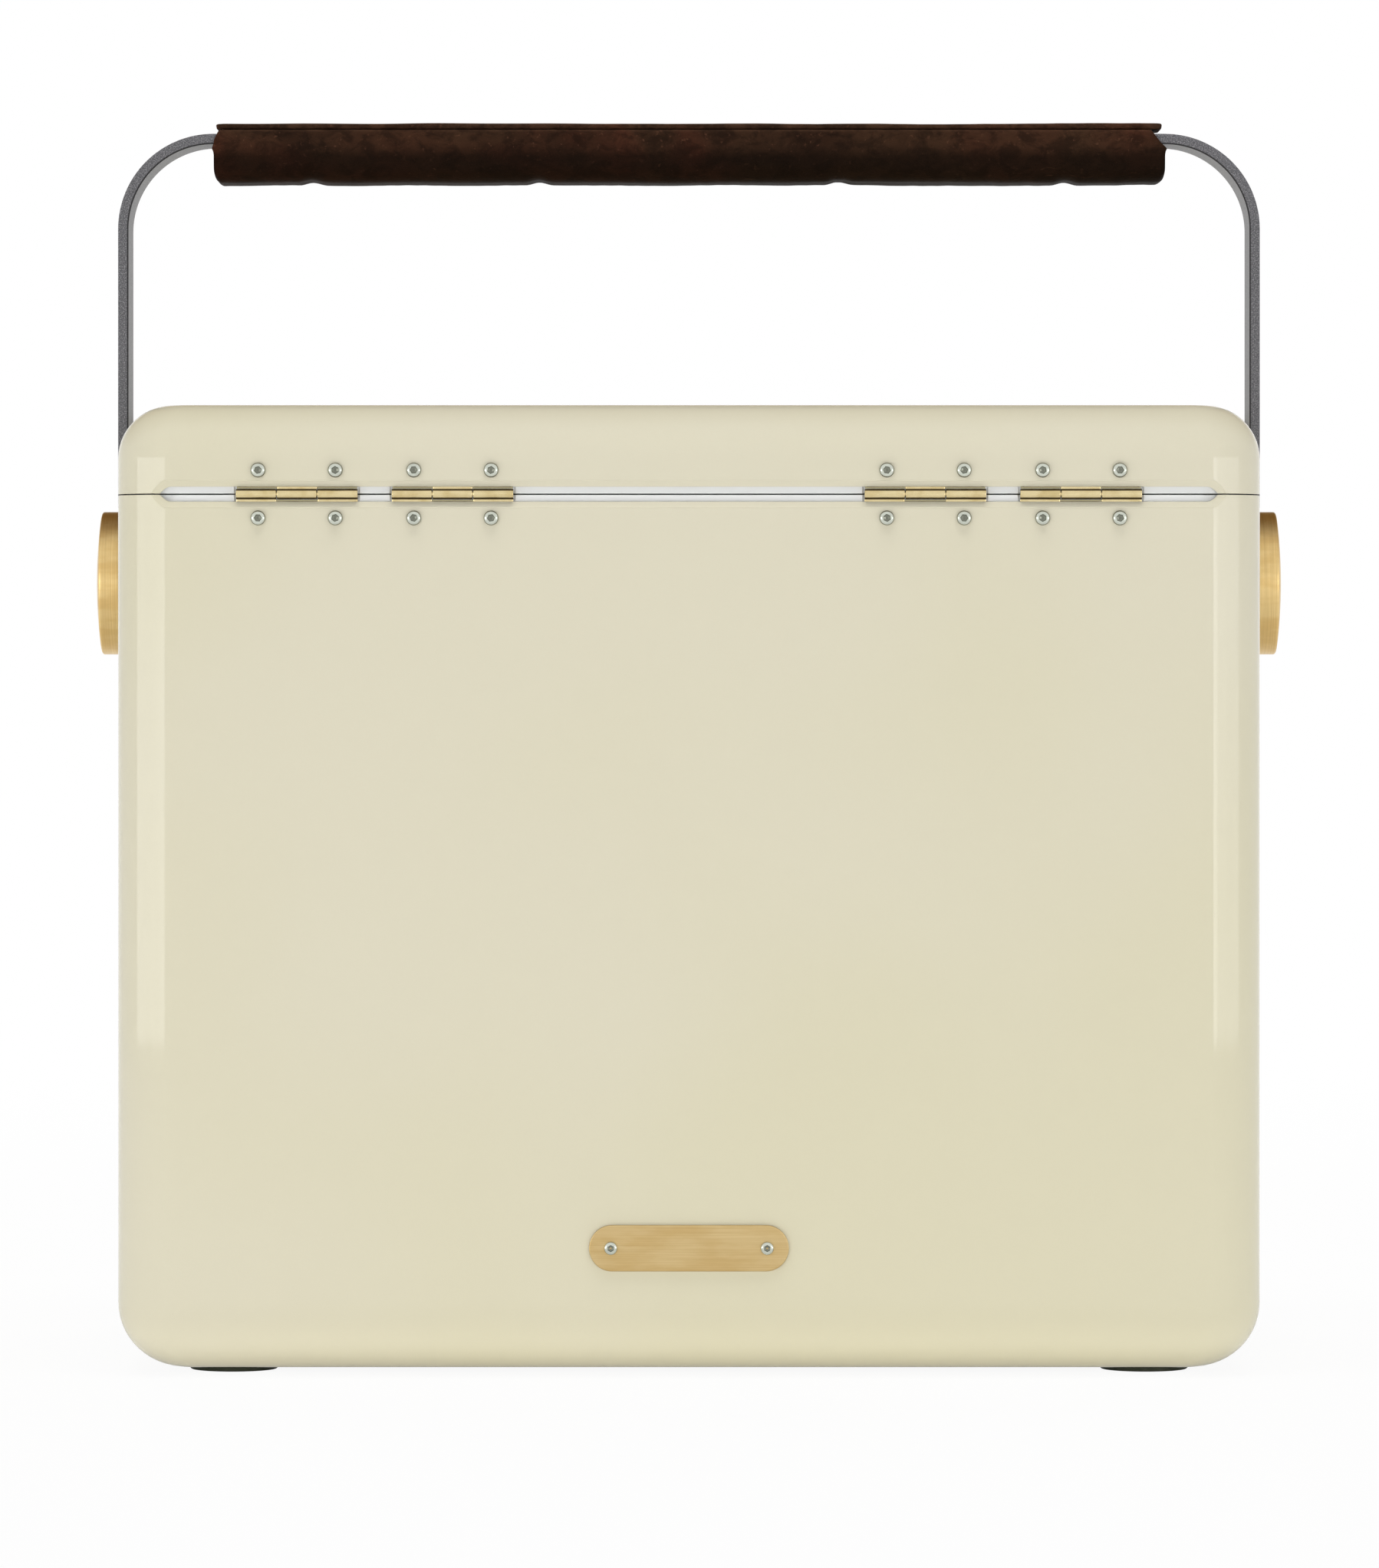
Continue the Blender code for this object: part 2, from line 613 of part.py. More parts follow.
def leaf_outline():
    """A leaf with its edge rolled round the pin: plate, outer curl, then the bore back to the plate.

    Local Y runs into the box and local Z up, with the leaf hanging below the pin.
    """
    bore = BARREL_RADIUS - LEAF
    curl = np.radians(np.linspace(0, CURL_END_DEG, CURL_STEPS + 1))
    circle = np.column_stack((np.cos(curl), np.sin(curl)))
    plate_foot = [(bore, -LEAF_HEIGHT), (BARREL_RADIUS, -LEAF_HEIGHT)]
    return np.vstack((plate_foot, BARREL_RADIUS * circle, bore * circle[::-1]))


def hinge_leaf(own_knuckles):
    """Leaf hanging below the pin, keeping only its own knuckles, with holes for two screws."""
    half = HINGE_LENGTH / 2
    pitch = HINGE_LENGTH / KNUCKLES
    room = BARREL_RADIUS + 2 * CLEARANCE
    cutters = []
    for knuckle in range(KNUCKLES):
        if knuckle in own_knuckles:
            continue
        start = -half + knuckle * pitch - (KNUCKLE_GAP / 2 if knuckle else CUT_OVERRUN)
        end = -half + (knuckle + 1) * pitch
        end += KNUCKLE_GAP / 2 if knuckle < KNUCKLES - 1 else CUT_OVERRUN
        cutters.append(block((start, -CUT_OVERRUN, -room), (end, CUT_OVERRUN, CUT_OVERRUN)))
    for x, rise in hinge_screw_places(0, -SCREW_RISE):
        at = (x, BARREL_RADIUS, rise)
        cutters.append(rod(SCREW_RADIUS + CLEARANCE, -CUT_OVERRUN, CUT_OVERRUN, "-Y", at))
    for side in (-1, 1):
        corner = leaf_corner_cutter()
        if side < 0:
            corner.transform(Matrix.Scale(-1, 4, (1, 0, 0)))
            corner.flip_normals()
        corner.transform(Matrix.Translation((side * half, 0, -LEAF_HEIGHT)))
        cutters.append(corner)
    return combined(extruded(leaf_outline(), -half, half), cutters)


def leaf_corner_cutter():
    """What rounding takes off a leaf's lower right corner, in local XZ, about that corner."""
    angles = np.linspace(0, -math.pi / 2, SECTION_STEPS + 1)
    arc = [(LEAF_CORNER * (math.cos(a) - 1), LEAF_CORNER * (math.sin(a) + 1)) for a in angles]
    outside = [(-LEAF_CORNER, -CUT_OVERRUN), (CUT_OVERRUN, -CUT_OVERRUN), (CUT_OVERRUN, LEAF_CORNER)]
    outline = np.array(arc + outside)
    rings = [np.column_stack((outline[:, 0], np.full(len(outline), y), outline[:, 1]))
             for y in (-CUT_OVERRUN, CUT_OVERRUN)]
    return lofted(rings)


def hinge_pin():
    """Pin through the knuckles, with slightly rounded ends, along local Z."""
    radius = BARREL_RADIUS - LEAF - PIN_CLEARANCE
    half = HINGE_LENGTH / 2
    return turned([
        (radius - PIN_DOME, -half),
        (radius, PIN_DOME - half),
        (radius, half - PIN_DOME),
        (radius - PIN_DOME, half),
    ], steps=SMALL_STEPS)


def button_screw():
    """Button-head screw with a hexagon socket, its head towards local Z and seated on the wall."""
    span = SCREW_HEAD_HEIGHT - SCREW_HEAD_EDGE
    profile = [
        (SCREW_RADIUS, -SCREW_LENGTH),
        (SCREW_RADIUS, CLEARANCE),
        (SCREW_HEAD_RADIUS, CLEARANCE),
    ]
    for angle in np.linspace(0, math.pi / 2, HEAD_STEPS + 1):
        radius = SCREW_FLAT_RADIUS + (SCREW_HEAD_RADIUS - SCREW_FLAT_RADIUS) * math.cos(angle)
        profile.append((radius, CLEARANCE + SCREW_HEAD_EDGE + span * math.sin(angle)))
    top = CLEARANCE + SCREW_HEAD_HEIGHT
    socket = rod(SOCKET_RADIUS, top - SOCKET_DEPTH, top + CUT_OVERRUN, "+Z", (0, 0, 0), HEX_SIDES)
    return combined(turned(profile, steps=SCREW_STEPS), [socket])


# Handle, about its pivot

def bail_station(x, z, out_x, out_z, half_width):
    """Chamfered cross-section of the flat bar, with its outer face at x, z facing along out."""
    c = BAIL_CHAMFER
    deep, wide = BAIL_BAR, half_width
    section = [(0, c - wide), (0, wide - c), (c, wide), (deep - c, wide),
               (deep, wide - c), (deep, c - wide), (deep - c, -wide), (c, -wide)]
    return [(x - out_x * depth, y, z - out_z * depth) for depth, y in section]


def bail():
    """Flat bar bent to a U, its arms rounded about the pivots and bored for the bushes."""
    half = BAIL_WIDTH / 2
    ends = [math.pi / 2 * (step + 1 / 2) / END_STEPS for step in range(END_STEPS)]
    arm = [(-half * math.cos(a), half * math.sin(a)) for a in ends] + [(0, half)]
    left = [bail_station(-BAIL_HALF_WIDTH, z, -1, 0, wide) for z, wide in arm]
    right = [bail_station(BAIL_HALF_WIDTH, z, 1, 0, wide) for z, wide in arm]
    shoulder_x = BAIL_HALF_WIDTH - BAIL_BEND
    shoulder_z = BAIL_REACH - BAIL_BEND
    bends = {-1: [], 1: []}
    for angle in np.linspace(0, math.pi / 2, BAIL_BEND_STEPS + 1):
        out_x, out_z = math.cos(angle), math.sin(angle)
        for side, stations in bends.items():
            x = side * (shoulder_x + BAIL_BEND * out_x)
            stations.append(bail_station(x, shoulder_z + BAIL_BEND * out_z, side * out_x, out_z, half))
    bar = lofted(left + bends[-1] + bends[1][::-1] + right[::-1])
    holes = []
    for side, towards in ((-1, "-X"), (1, "+X")):
        at = (side * BAIL_HALF_WIDTH, 0, 0)
        reach = (-BAIL_BAR - CUT_OVERRUN, CUT_OVERRUN)
        holes.append(rod(BUSH_RADIUS + CLEARANCE, *reach, towards, at, TURN_STEPS))
    return combined(bar, holes)


def grip_ring(x, half_y, low, high, low_radius, high_radius):
    """Cross-section of the grip at x: flatter on top, rounder under the fingers."""
    turn = np.linspace(0, math.pi / 2, SECTION_STEPS + 1)
    corners = ((1, high, high_radius), (-1, high, high_radius), (-1, low, low_radius), (1, low, low_radius))
    points = []
    for quarter, (side, level, radius) in enumerate(corners):
        up = 1 if level == high else -1
        for angle in turn + quarter * math.pi / 2:
            y = side * (half_y - radius) + radius * math.cos(angle)
            z = level - up * radius + radius * math.sin(angle)
            points.append((x, y, z))
    return points


def dimple(x):
    """Height that the small dimples lift the grip's underside by at x."""
    lift = 0
    for centre in (-DIMPLE_OUTER, -DIMPLE_INNER, DIMPLE_INNER, DIMPLE_OUTER):
        away = min(abs(x - centre) / DIMPLE_HALF_LENGTH, 1)
        lift += DIMPLE_DEPTH * (1 + math.cos(math.pi * away)) / 2
    return lift


def end_setback(z):
    """How far the sleeve's end steps back at height z: a little at its top, and round a corner below."""
    high = max(z - (GRIP_TOP - GRIP_END_TOP_FALL), 0) / GRIP_END_TOP_FALL
    low = min(max(GRIP_BASE + GRIP_END_LOW_RISE - z, 0) / GRIP_END_LOW_RISE, 1)
    return GRIP_END_TOP_SETBACK * high ** 2 + GRIP_END_LOW_SETBACK * (1 - math.sqrt(1 - low ** 2))


def with_shaped_end(ring):
    """A ring of the sleeve with its points drawn back towards the middle, in full at the very end."""
    eased = []
    for x, y, z in ring:
        share = max(abs(x) - (GRIP_HALF_LENGTH - GRIP_END_EASE), 0) / GRIP_END_EASE
        eased.append((x - math.copysign(share * end_setback(z), x), y, z))
    return eased


def grip_sleeve():
    """Leather sleeve round the bar and the core, open at both ends, with four small dimples below."""
    half = GRIP_WIDTH / 2
    ends = [(GRIP_HALF_LENGTH - GRIP_END_EASE, 0)]
    for angle in np.linspace(0, math.pi / 2, SECTION_STEPS + 1):
        ends.append((GRIP_HALF_LENGTH - GRIP_END_RADIUS * (1 - math.sin(angle)),
                     GRIP_END_RADIUS * (1 - math.cos(angle))))
    stations = [(-x, shrink) for x, shrink in ends[::-1]]
    for centre in (-DIMPLE_OUTER, -DIMPLE_INNER, DIMPLE_INNER, DIMPLE_OUTER):
        stations += [(centre + share * DIMPLE_HALF_LENGTH, 0) for share in DIMPLE_SHARES]
    stations += ends
    rings = []
    for x, shrink in stations:
        ring = grip_ring(x, half - shrink, GRIP_BASE + dimple(x) + shrink, GRIP_TOP,
                         GRIP_LOW_RADIUS, GRIP_TOP_RADIUS)
        rings.append(with_shaped_end(ring))
    inner_end = GRIP_HALF_LENGTH - GRIP_END_EASE
    for x in (GRIP_HALF_LENGTH, inner_end, -inner_end, -GRIP_HALF_LENGTH):
        rings.append(with_shaped_end(grip_cavity_ring(x, 0)))
    return lofted(rings, closed=True)


def grip_cavity_ring(x, inset):
    """Cross-section of the room inside the sleeve, or of the core set in from it."""
    top = BAIL_REACH + CLEARANCE if inset == 0 else BAIL_REACH - BAIL_BAR - inset
    return grip_ring(x, BAIL_WIDTH / 2 + CLEARANCE - inset, GRIP_BASE + GRIP_LEATHER_BASE + inset, top,
                     GRIP_LOW_RADIUS - GRIP_LEATHER_BASE, BAIL_CHAMFER + CLEARANCE)


def grip_core():
    """Firm core that fills the sleeve under the bar."""
    reach = GRIP_HALF_LENGTH - GRIP_CORE_INSET
    return lofted([grip_cavity_ring(x, CLEARANCE) for x in (-reach, reach)])


def grip_strip():
    """Leather strip along the top of the grip, with rounded ends and a rounded upper edge."""
    base = GRIP_TOP + CLEARANCE
    half_long = GRIP_HALF_LENGTH - STRIP_END_SETBACK
    rings = [level_ring(half_long, STRIP_WIDTH / 2, STRIP_CORNER, base)]
    for angle in np.linspace(0, math.pi / 2, SECTION_STEPS + 1):
        inset = STRIP_ROUND * (1 - math.cos(angle))
        z = base + STRIP_THICKNESS - STRIP_ROUND * (1 - math.sin(angle))
        rings.append(level_ring(half_long - inset, STRIP_WIDTH / 2 - inset, STRIP_CORNER - inset, z))
    return lofted(rings)


# Handle pivots, along local Z from the outer face of the side wall

def pivot_bush():
    """Flanged bush: the flange spaces the arm off the wall and the sleeve is what it turns on."""
    bore = BOLT_RADIUS + CLEARANCE
    return turned([
        (bore, CLEARANCE),
        (BUSH_FLANGE_RADIUS, CLEARANCE),
        (BUSH_FLANGE_RADIUS, ARM_STANDOFF - CLEARANCE),
        (BUSH_RADIUS, ARM_STANDOFF - CLEARANCE),
        (BUSH_RADIUS, ARM_STANDOFF + BAIL_BAR),
        (bore, ARM_STANDOFF + BAIL_BAR),
    ], closed=True)


def pivot_bolt():
    """Bolt from inside the foam out through backing plate, wall and bush, into the cap."""
    seat = -FOAM_INSET - BACKING - CLEARANCE
    end = CAP_BASE + CAP_RIM - CAP_BORE_END - CLEARANCE
    shank = turned([(BOLT_RADIUS, seat - BOLT_HEAD_HEIGHT / 2), (BOLT_RADIUS, end)], steps=SMALL_STEPS)
    head = turned([(BOLT_HEAD_RADIUS, seat - BOLT_HEAD_HEIGHT), (BOLT_HEAD_RADIUS, seat)], steps=HEX_SIDES)
    return combined(head, [shank], "UNION")


def pivot_plate():
    """Round backing plate that spreads the handle's load over the inside of the wall."""
    bore = BOLT_RADIUS + CLEARANCE
    back = -FOAM_INSET - BACKING
    return turned([(bore, back), (BACKING_RADIUS, back), (BACKING_RADIUS, -FOAM_INSET), (bore, -FOAM_INSET)],
                  closed=True)


def pivot_cap():
    """Brushed brass cap screwed on the bolt: a straight rim, a broken edge and a low crown."""
    rim = CAP_BASE + CAP_RIM
    bore = BOLT_RADIUS + CLEARANCE
    profile = [
        (bore, rim - CAP_BORE_END),
        (bore, CAP_BASE),
        (CAP_RADIUS - CAP_EDGE, CAP_BASE),
        (CAP_RADIUS, CAP_BASE + CAP_EDGE),
        (CAP_RADIUS, rim - CAP_EDGE),
        (CAP_RADIUS - CAP_EDGE, rim),
    ]
    for angle in np.linspace(0, math.pi / 2, SECTION_STEPS + 1)[1:]:
        profile.append(((CAP_RADIUS - CAP_EDGE) * math.cos(angle), rim + CAP_CROWN * math.sin(angle)))
    return turned(profile, steps=CAP_STEPS)


# Turn latch, along local Z from the outer face of the front wall, with the hook at rest along local X

def latch_bush():
    """Escutcheon ring outside the wall with the sleeve that the shaft turns in."""
    bore = LATCH_SHAFT_RADIUS + CLEARANCE
    face = CLEARANCE + ESCUTCHEON
    return turned([
        (bore, -SHEET),
        (LATCH_BUSH_RADIUS, -SHEET),
        (LATCH_BUSH_RADIUS, CLEARANCE),
        (ESCUTCHEON_RADIUS, CLEARANCE),
        (ESCUTCHEON_RADIUS - PLATE_CHAMFER, face),
        (bore, face),
    ], closed=True)


def latch_knob():
    """Round knob with a raised thumb bar, a round shaft and a square end bored for its screw."""
    seat = 2 * CLEARANCE + ESCUTCHEON
    face = seat + LATCH_KNOB_HEIGHT
    shoulder = -LEAF_INSET + CLEARANCE
    disc = turned([
        (LATCH_SHAFT_RADIUS, shoulder),
        (LATCH_SHAFT_RADIUS, seat),
        (LATCH_KNOB_RADIUS, seat),
        (LATCH_KNOB_RADIUS, face - LATCH_KNOB_EDGE),
        (LATCH_KNOB_RADIUS - LATCH_KNOB_EDGE, face),
    ])
    bar = []
    half_long, half_wide = THUMB_LENGTH / 2, THUMB_WIDTH / 2
    for z, inset in ((face - LATCH_KNOB_HEIGHT / 2, 0), (face + THUMB_HEIGHT - THUMB_EDGE, 0),
                     (face + THUMB_HEIGHT, THUMB_EDGE)):
        bar.append(level_ring(half_long - inset, half_wide - inset, half_wide - inset - WELD, z))
    square = LATCH_SQUARE / 2
    tail = -LEAF_INSET - HOOK_PLATE - LATCH_SQUARE_REST
    end = block((-square, -square, tail), (square, square, shoulder + LATCH_KNOB_HEIGHT / 2))
    bore = rod(LATCH_SCREW_RADIUS + PIN_CLEARANCE, tail - CUT_OVERRUN, tail + LATCH_SCREW_GRIP + CLEARANCE,
               "+Z", (0, 0, 0))
    return combined(combined(disc, [lofted(bar), end], "UNION"), [bore])


def latch_hook():
    """Flat hook behind the front wall: hub, arm and a finger that runs ahead over the keeper."""
    outer = HOOK_INNER_RADIUS + HOOK_FINGER
    lead, trail = math.radians(HOOK_ARM_LEAD_DEG), math.radians(HOOK_ARM_TRAIL_DEG)
    tip = math.radians(HOOK_FINGER_LEAD_DEG)
    outline = [(outer * math.cos(a), outer * math.sin(a)) for a in np.linspace(trail, tip, END_STEPS + 1)]
    inner = np.linspace(tip, lead, SECTION_STEPS + 1)
    outline += [(HOOK_INNER_RADIUS * math.cos(a), HOOK_INNER_RADIUS * math.sin(a)) for a in inner]
    half_arm = HOOK_INNER_RADIUS * math.sin(lead - trail) / 2
    middle = (lead + trail) / 2
    spread = math.asin(min(half_arm / HOOK_HUB_RADIUS, 1))
    hub = np.linspace(middle + spread, middle + 2 * math.pi - spread, SMALL_STEPS)
    outline += [(HOOK_HUB_RADIUS * math.cos(a), HOOK_HUB_RADIUS * math.sin(a)) for a in hub]
    outline = np.array(outline)
    rings = [np.column_stack((outline, np.full(len(outline), z)))
             for z in (-LEAF_INSET - HOOK_PLATE, -LEAF_INSET)]
    square = LATCH_SQUARE / 2 + CLEARANCE
    hole = block((-square, -square, -LEAF_INSET - HOOK_PLATE - CUT_OVERRUN), (square, square, CUT_OVERRUN))
    return combined(lofted(rings), [hole])


def latch_screw():
    """Pan-head screw that keeps the hook on the square, its head towards the foam."""
    seat = -LEAF_INSET - HOOK_PLATE - LATCH_SQUARE_REST - CLEARANCE
    return turned([
        (LATCH_SCREW_HEAD_RADIUS - PLATE_CHAMFER, seat - LATCH_SCREW_HEAD),
        (LATCH_SCREW_HEAD_RADIUS, seat - LATCH_SCREW_HEAD + PLATE_CHAMFER),
        (LATCH_SCREW_HEAD_RADIUS, seat),
        (LATCH_SCREW_RADIUS, seat),
        (LATCH_SCREW_RADIUS, seat + LATCH_SCREW_GRIP),
    ], steps=SMALL_STEPS)


# Materials: colour, roughness, metallic

FINISHES = {
    "cream_paint": ((0.73, 0.69, 0.50), 0.30, 0.0),
    "white_liner": ((0.86, 0.87, 0.85), 0.35, 0.0),
    "foam": ((0.88, 0.84, 0.70), 0.90, 0.0),
    "seal_rubber": ((0.10, 0.10, 0.10), 0.70, 0.0),
    "foot_rubber": ((0.06, 0.06, 0.05), 0.75, 0.0),
    "brushed_brass": ((0.72, 0.52, 0.24), 0.38, 1.0),
    "hinge_brass": ((0.80, 0.64, 0.36), 0.28, 1.0),
    "screw_steel": ((0.62, 0.60, 0.56), 0.25, 1.0),
    "grey_bar": ((0.32, 0.32, 0.31), 0.48, 1.0),
    "plain_steel": ((0.50, 0.50, 0.50), 0.40, 1.0),
    "brown_leather": ((0.06, 0.025, 0.012), 0.55, 0.0),
    "core_plastic": ((0.05, 0.05, 0.05), 0.60, 0.0),
    "bush_nylon": ((0.12, 0.12, 0.12), 0.50, 0.0),
}


def finish(name):
    """The named material, made once."""
    if name in bpy.data.materials:
        return bpy.data.materials[name]
    colour, roughness, metallic = FINISHES[name]
    made = bpy.data.materials.new(name)
    made.use_nodes = True
    shader = made.node_tree.nodes["Principled BSDF"]
    shader.inputs["Base Color"].default_value = (*colour, 1)
    shader.inputs["Roughness"].default_value = roughness
    shader.inputs["Metallic"].default_value = metallic
    return made


# Placing

def pivot_empty(name, at):
    """An empty on a joint's axis, which carries the pieces that turn with it."""
    empty = bpy.data.objects.new(name, None)
    empty.location = at
    bpy.context.scene.collection.objects.link(empty)
    return empty


def place(name, mesh, look, at=(0, 0, 0), towards="+Z", carrier=None):
    """One named piece at a point of the box's frame, carried by an empty if one is given."""
    mesh.name = name
    mesh.shade_smooth()
    mesh.set_sharp_from_angle(angle=math.radians(SHARP_DEG))
    mesh.materials.clear()
    mesh.materials.append(finish(look))
    piece = bpy.data.objects.new(name, mesh)
    piece.location = Vector(at) - (carrier.location if carrier else Vector())
    piece.rotation_euler = TOWARDS[towards].to_euler()
    piece.parent = carrier
    bpy.context.scene.collection.objects.link(piece)
    return piece


def place_body():
    """The box below the split, its feet and its name plate."""
    place("body_shell", body_shell(), "cream_paint")
    place("body_liner", body_liner(), "white_liner")
    place("body_insulation", body_insulation(), "foam")
    tread = foot()
    for name, (x, y) in foot_places().items():
        place(name, tread, "foot_rubber", (x, y, 0))
    plate_at = Vector((0, BACK_Y, BASE_Z + PLATE_RISE))
    place("name_plate", name_plate(), "brushed_brass", plate_at, "-Y")
    screw = plate_screw()
    for side, sign in (("left", -1), ("right", 1)):
        at = plate_at + Vector((sign * PLATE_SCREW_X, 0, 0))
        place(f"plate_screw_{side}", screw, "screw_steel", at, "-Y")


def place_lid(carrier):
    """The lid, which turns on the hinge pins."""
    at = (0, 0, SPLIT_Z)
    place("lid_shell", lid_shell(), "cream_paint", at, carrier=carrier)
    place("lid_liner", lid_liner(), "white_liner", at, carrier=carrier)
    place("lid_insulation", lid_insulation(), "foam", at, carrier=carrier)
    place("lid_seal", lid_seal(), "seal_rubber", at, carrier=carrier)
    keeper_at = (0, FRONT_Y, SPLIT_Z + KEEPER_ABOVE_SPLIT)
    place("latch_keeper", latch_keeper(), "brushed_brass", keeper_at, "+Y", carrier)


def place_hinges(carrier):
    """Four hinges with their screws: body leaves and pins stay, lid leaves turn with the lid."""
    body_leaf = hinge_leaf(own_knuckles=range(0, KNUCKLES, 2))
    lid_leaf = hinge_leaf(own_knuckles=range(1, KNUCKLES, 2))
    lid_leaf.transform(Matrix.Scale(-1, 4, (0, 0, 1)))
    lid_leaf.flip_normals()
    pin = hinge_pin()
    screw = button_screw()
    for number, x in enumerate(hinge_centres(), start=1):
        at = (x, HINGE_Y, SPLIT_Z)
        place(f"hinge_{number}_body_leaf", body_leaf, "hinge_brass", at)
        place(f"hinge_{number}_lid_leaf", lid_leaf, "hinge_brass", at, carrier=carrier)
        place(f"hinge_{number}_pin", pin, "hinge_brass", at, "+X")
        for part, rise, owner in (("body", -SCREW_RISE, None), ("lid", SCREW_RISE, carrier)):
            for side, (screw_x, height) in zip(("left", "right"), hinge_screw_places(x, rise)):
                screw_at = (screw_x, BACK_Y, SPLIT_Z + height)
                place(f"hinge_{number}_{part}_screw_{side}", screw, "screw_steel", screw_at, "-Y", owner)


def place_handle(carrier):
    """The bail with its grip, and the fixed pivots that it turns on."""
    at = (0, 0, PIVOT_Z)
    place("bail", bail(), "grey_bar", at, carrier=carrier)
    place("grip_core", grip_core(), "core_plastic", at, carrier=carrier)
    place("grip_sleeve", grip_sleeve(), "brown_leather", at, carrier=carrier)
    place("grip_strip", grip_strip(), "brown_leather", at, carrier=carrier)
    pieces = (
        ("pivot_bush", pivot_bush(), "bush_nylon"),
        ("pivot_bolt", pivot_bolt(), "plain_steel"),
        ("pivot_plate", pivot_plate(), "plain_steel"),
        ("pivot_cap", pivot_cap(), "brushed_brass"),
    )
    for name, mesh, look in pieces:
        for side, sign, towards in (("left", -1, "-X"), ("right", 1, "+X")):
            place(f"{name}_{side}", mesh, look, (sign * SIDE_X, 0, PIVOT_Z), towards)


def place_latch(carrier):
    """The turn latch on the front wall, open at rest with its hook lying level."""
    at = (0, FRONT_Y, LATCH_Z)
    place("latch_bush", latch_bush(), "brushed_brass", at, "+Y")
    place("latch_knob", latch_knob(), "brushed_brass", at, "+Y", carrier)
    hook = latch_hook()
    hook.transform(Matrix.Scale(-1, 4, (0, 1, 0)))
    hook.flip_normals()
    place("latch_hook", hook, "plain_steel", at, "+Y", carrier)
    place("latch_screw", latch_screw(), "plain_steel", at, "+Y", carrier)


def main():
    """Build the whole cooler box."""
    for leftover in list(bpy.data.objects):
        bpy.data.objects.remove(leftover)
    lid_pivot = pivot_empty("lid_pivot", (0, HINGE_Y, SPLIT_Z))
    handle_pivot = pivot_empty("handle_pivot", (0, 0, PIVOT_Z))
    latch_pivot = pivot_empty("latch_pivot", (0, FRONT_Y, LATCH_Z))
    place_body()
    place_lid(lid_pivot)
    place_hinges(lid_pivot)
    place_handle(handle_pivot)
    place_latch(latch_pivot)


main()
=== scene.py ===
"""The looks of a hard-sided cooler box: gloss paint, brass fittings, a grey bail and a leather grip.

Frame: metres, +Z up, X along the width, -Y towards the hinges and the camera, origin on the floor
under the middle of the box. Shapes are grids of points: rows along a profile, columns round a path.
"""

import math

import bpy
import numpy as np
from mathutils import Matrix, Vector

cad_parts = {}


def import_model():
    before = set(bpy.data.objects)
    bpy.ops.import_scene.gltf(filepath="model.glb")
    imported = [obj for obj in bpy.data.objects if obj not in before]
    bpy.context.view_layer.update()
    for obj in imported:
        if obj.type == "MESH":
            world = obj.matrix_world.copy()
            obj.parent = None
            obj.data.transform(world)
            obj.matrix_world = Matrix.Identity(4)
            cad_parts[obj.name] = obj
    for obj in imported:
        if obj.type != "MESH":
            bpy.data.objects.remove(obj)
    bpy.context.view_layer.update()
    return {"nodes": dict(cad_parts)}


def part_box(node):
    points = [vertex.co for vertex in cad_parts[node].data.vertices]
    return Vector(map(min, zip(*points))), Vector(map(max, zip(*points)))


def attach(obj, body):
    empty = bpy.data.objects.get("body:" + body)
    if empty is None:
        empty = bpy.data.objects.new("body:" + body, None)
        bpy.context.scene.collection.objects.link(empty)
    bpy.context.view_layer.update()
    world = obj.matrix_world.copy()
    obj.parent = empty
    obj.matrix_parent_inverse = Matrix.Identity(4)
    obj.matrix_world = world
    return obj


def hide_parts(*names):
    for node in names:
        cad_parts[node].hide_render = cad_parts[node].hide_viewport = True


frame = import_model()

MM = 0.001
SIDES = (("left", -1), ("right", 1))


def mm(*values):
    """Numbers, or rows of numbers, given in millimetres."""
    return np.array(values, float) * MM


def middle_of(node):
    """The middle of a CAD node."""
    return sum(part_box(node), Vector()) / 2


# Levels and sizes read from the frame
(*_, BASE_Z), (HALF_X, HALF_Y, BODY_RIM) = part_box("body_shell")
LID_RIM, LID_TOP = (corner.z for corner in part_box("lid_shell"))
SPLIT_Z = (BODY_RIM + LID_RIM) / 2
PIVOT_Z = middle_of("pivot_cap_left").z
LATCH_Z = middle_of("latch_bush").z
KEEPER_Z = middle_of("latch_keeper").z
PLATE_Z = middle_of("name_plate").z
GRIP_LOW, GRIP_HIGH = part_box("grip_sleeve")
BAIL_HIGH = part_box("bail")[1]
HINGES = {n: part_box(f"hinge_{n}_pin") for n in (1, 2, 3, 4)}
HINGE_Y = middle_of("hinge_1_pin").y

# Box walls
EDGE = 18 * MM
BASE_BEND = 21 * MM
LID_BEND = 17 * MM
CORNER_SHARE = 0.7
SHEET = 1.2 * MM
FLAT_X = HALF_X - EDGE
FLAT_Y = HALF_Y - EDGE
WALL = 21 * MM
LINER = 2 * MM
LINER_EDGE = 12 * MM
LINER_BEND = 15 * MM
LINER_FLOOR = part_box("body_liner")[0].z + LINER
SEAM_CLOSE = 0.15 * MM
RIM_FLARE = 0.8 * MM
RIM_INSET = 2.6 * MM
RIM_LIP = 2.5 * MM
RIM_LIP_DEPTH = 5.5 * MM
RIM_FLANGE = 2.5 * MM
LID_FLANGE = 3.5 * MM
PLUG_INSET = 22.5 * MM
PLUG_DEPTH = 8 * MM
PLUG_BEND = 3.5 * MM
SEAL_INNER = 18 * MM
SEAL_OUTER = 14 * MM
SEAL_GROOVE = 2 * MM
SEAL_ROOM = 0.3 * MM
SEAL_TAPER = 1 * MM

# Channel along the split: half heights at its mouth and foot
MOUTH_HALF = 3.85 * MM
FOOT_HALF = 2.0 * MM
SLOPE_DEPTH = 1.0 * MM
PRESS_LINE = 0.16 * MM
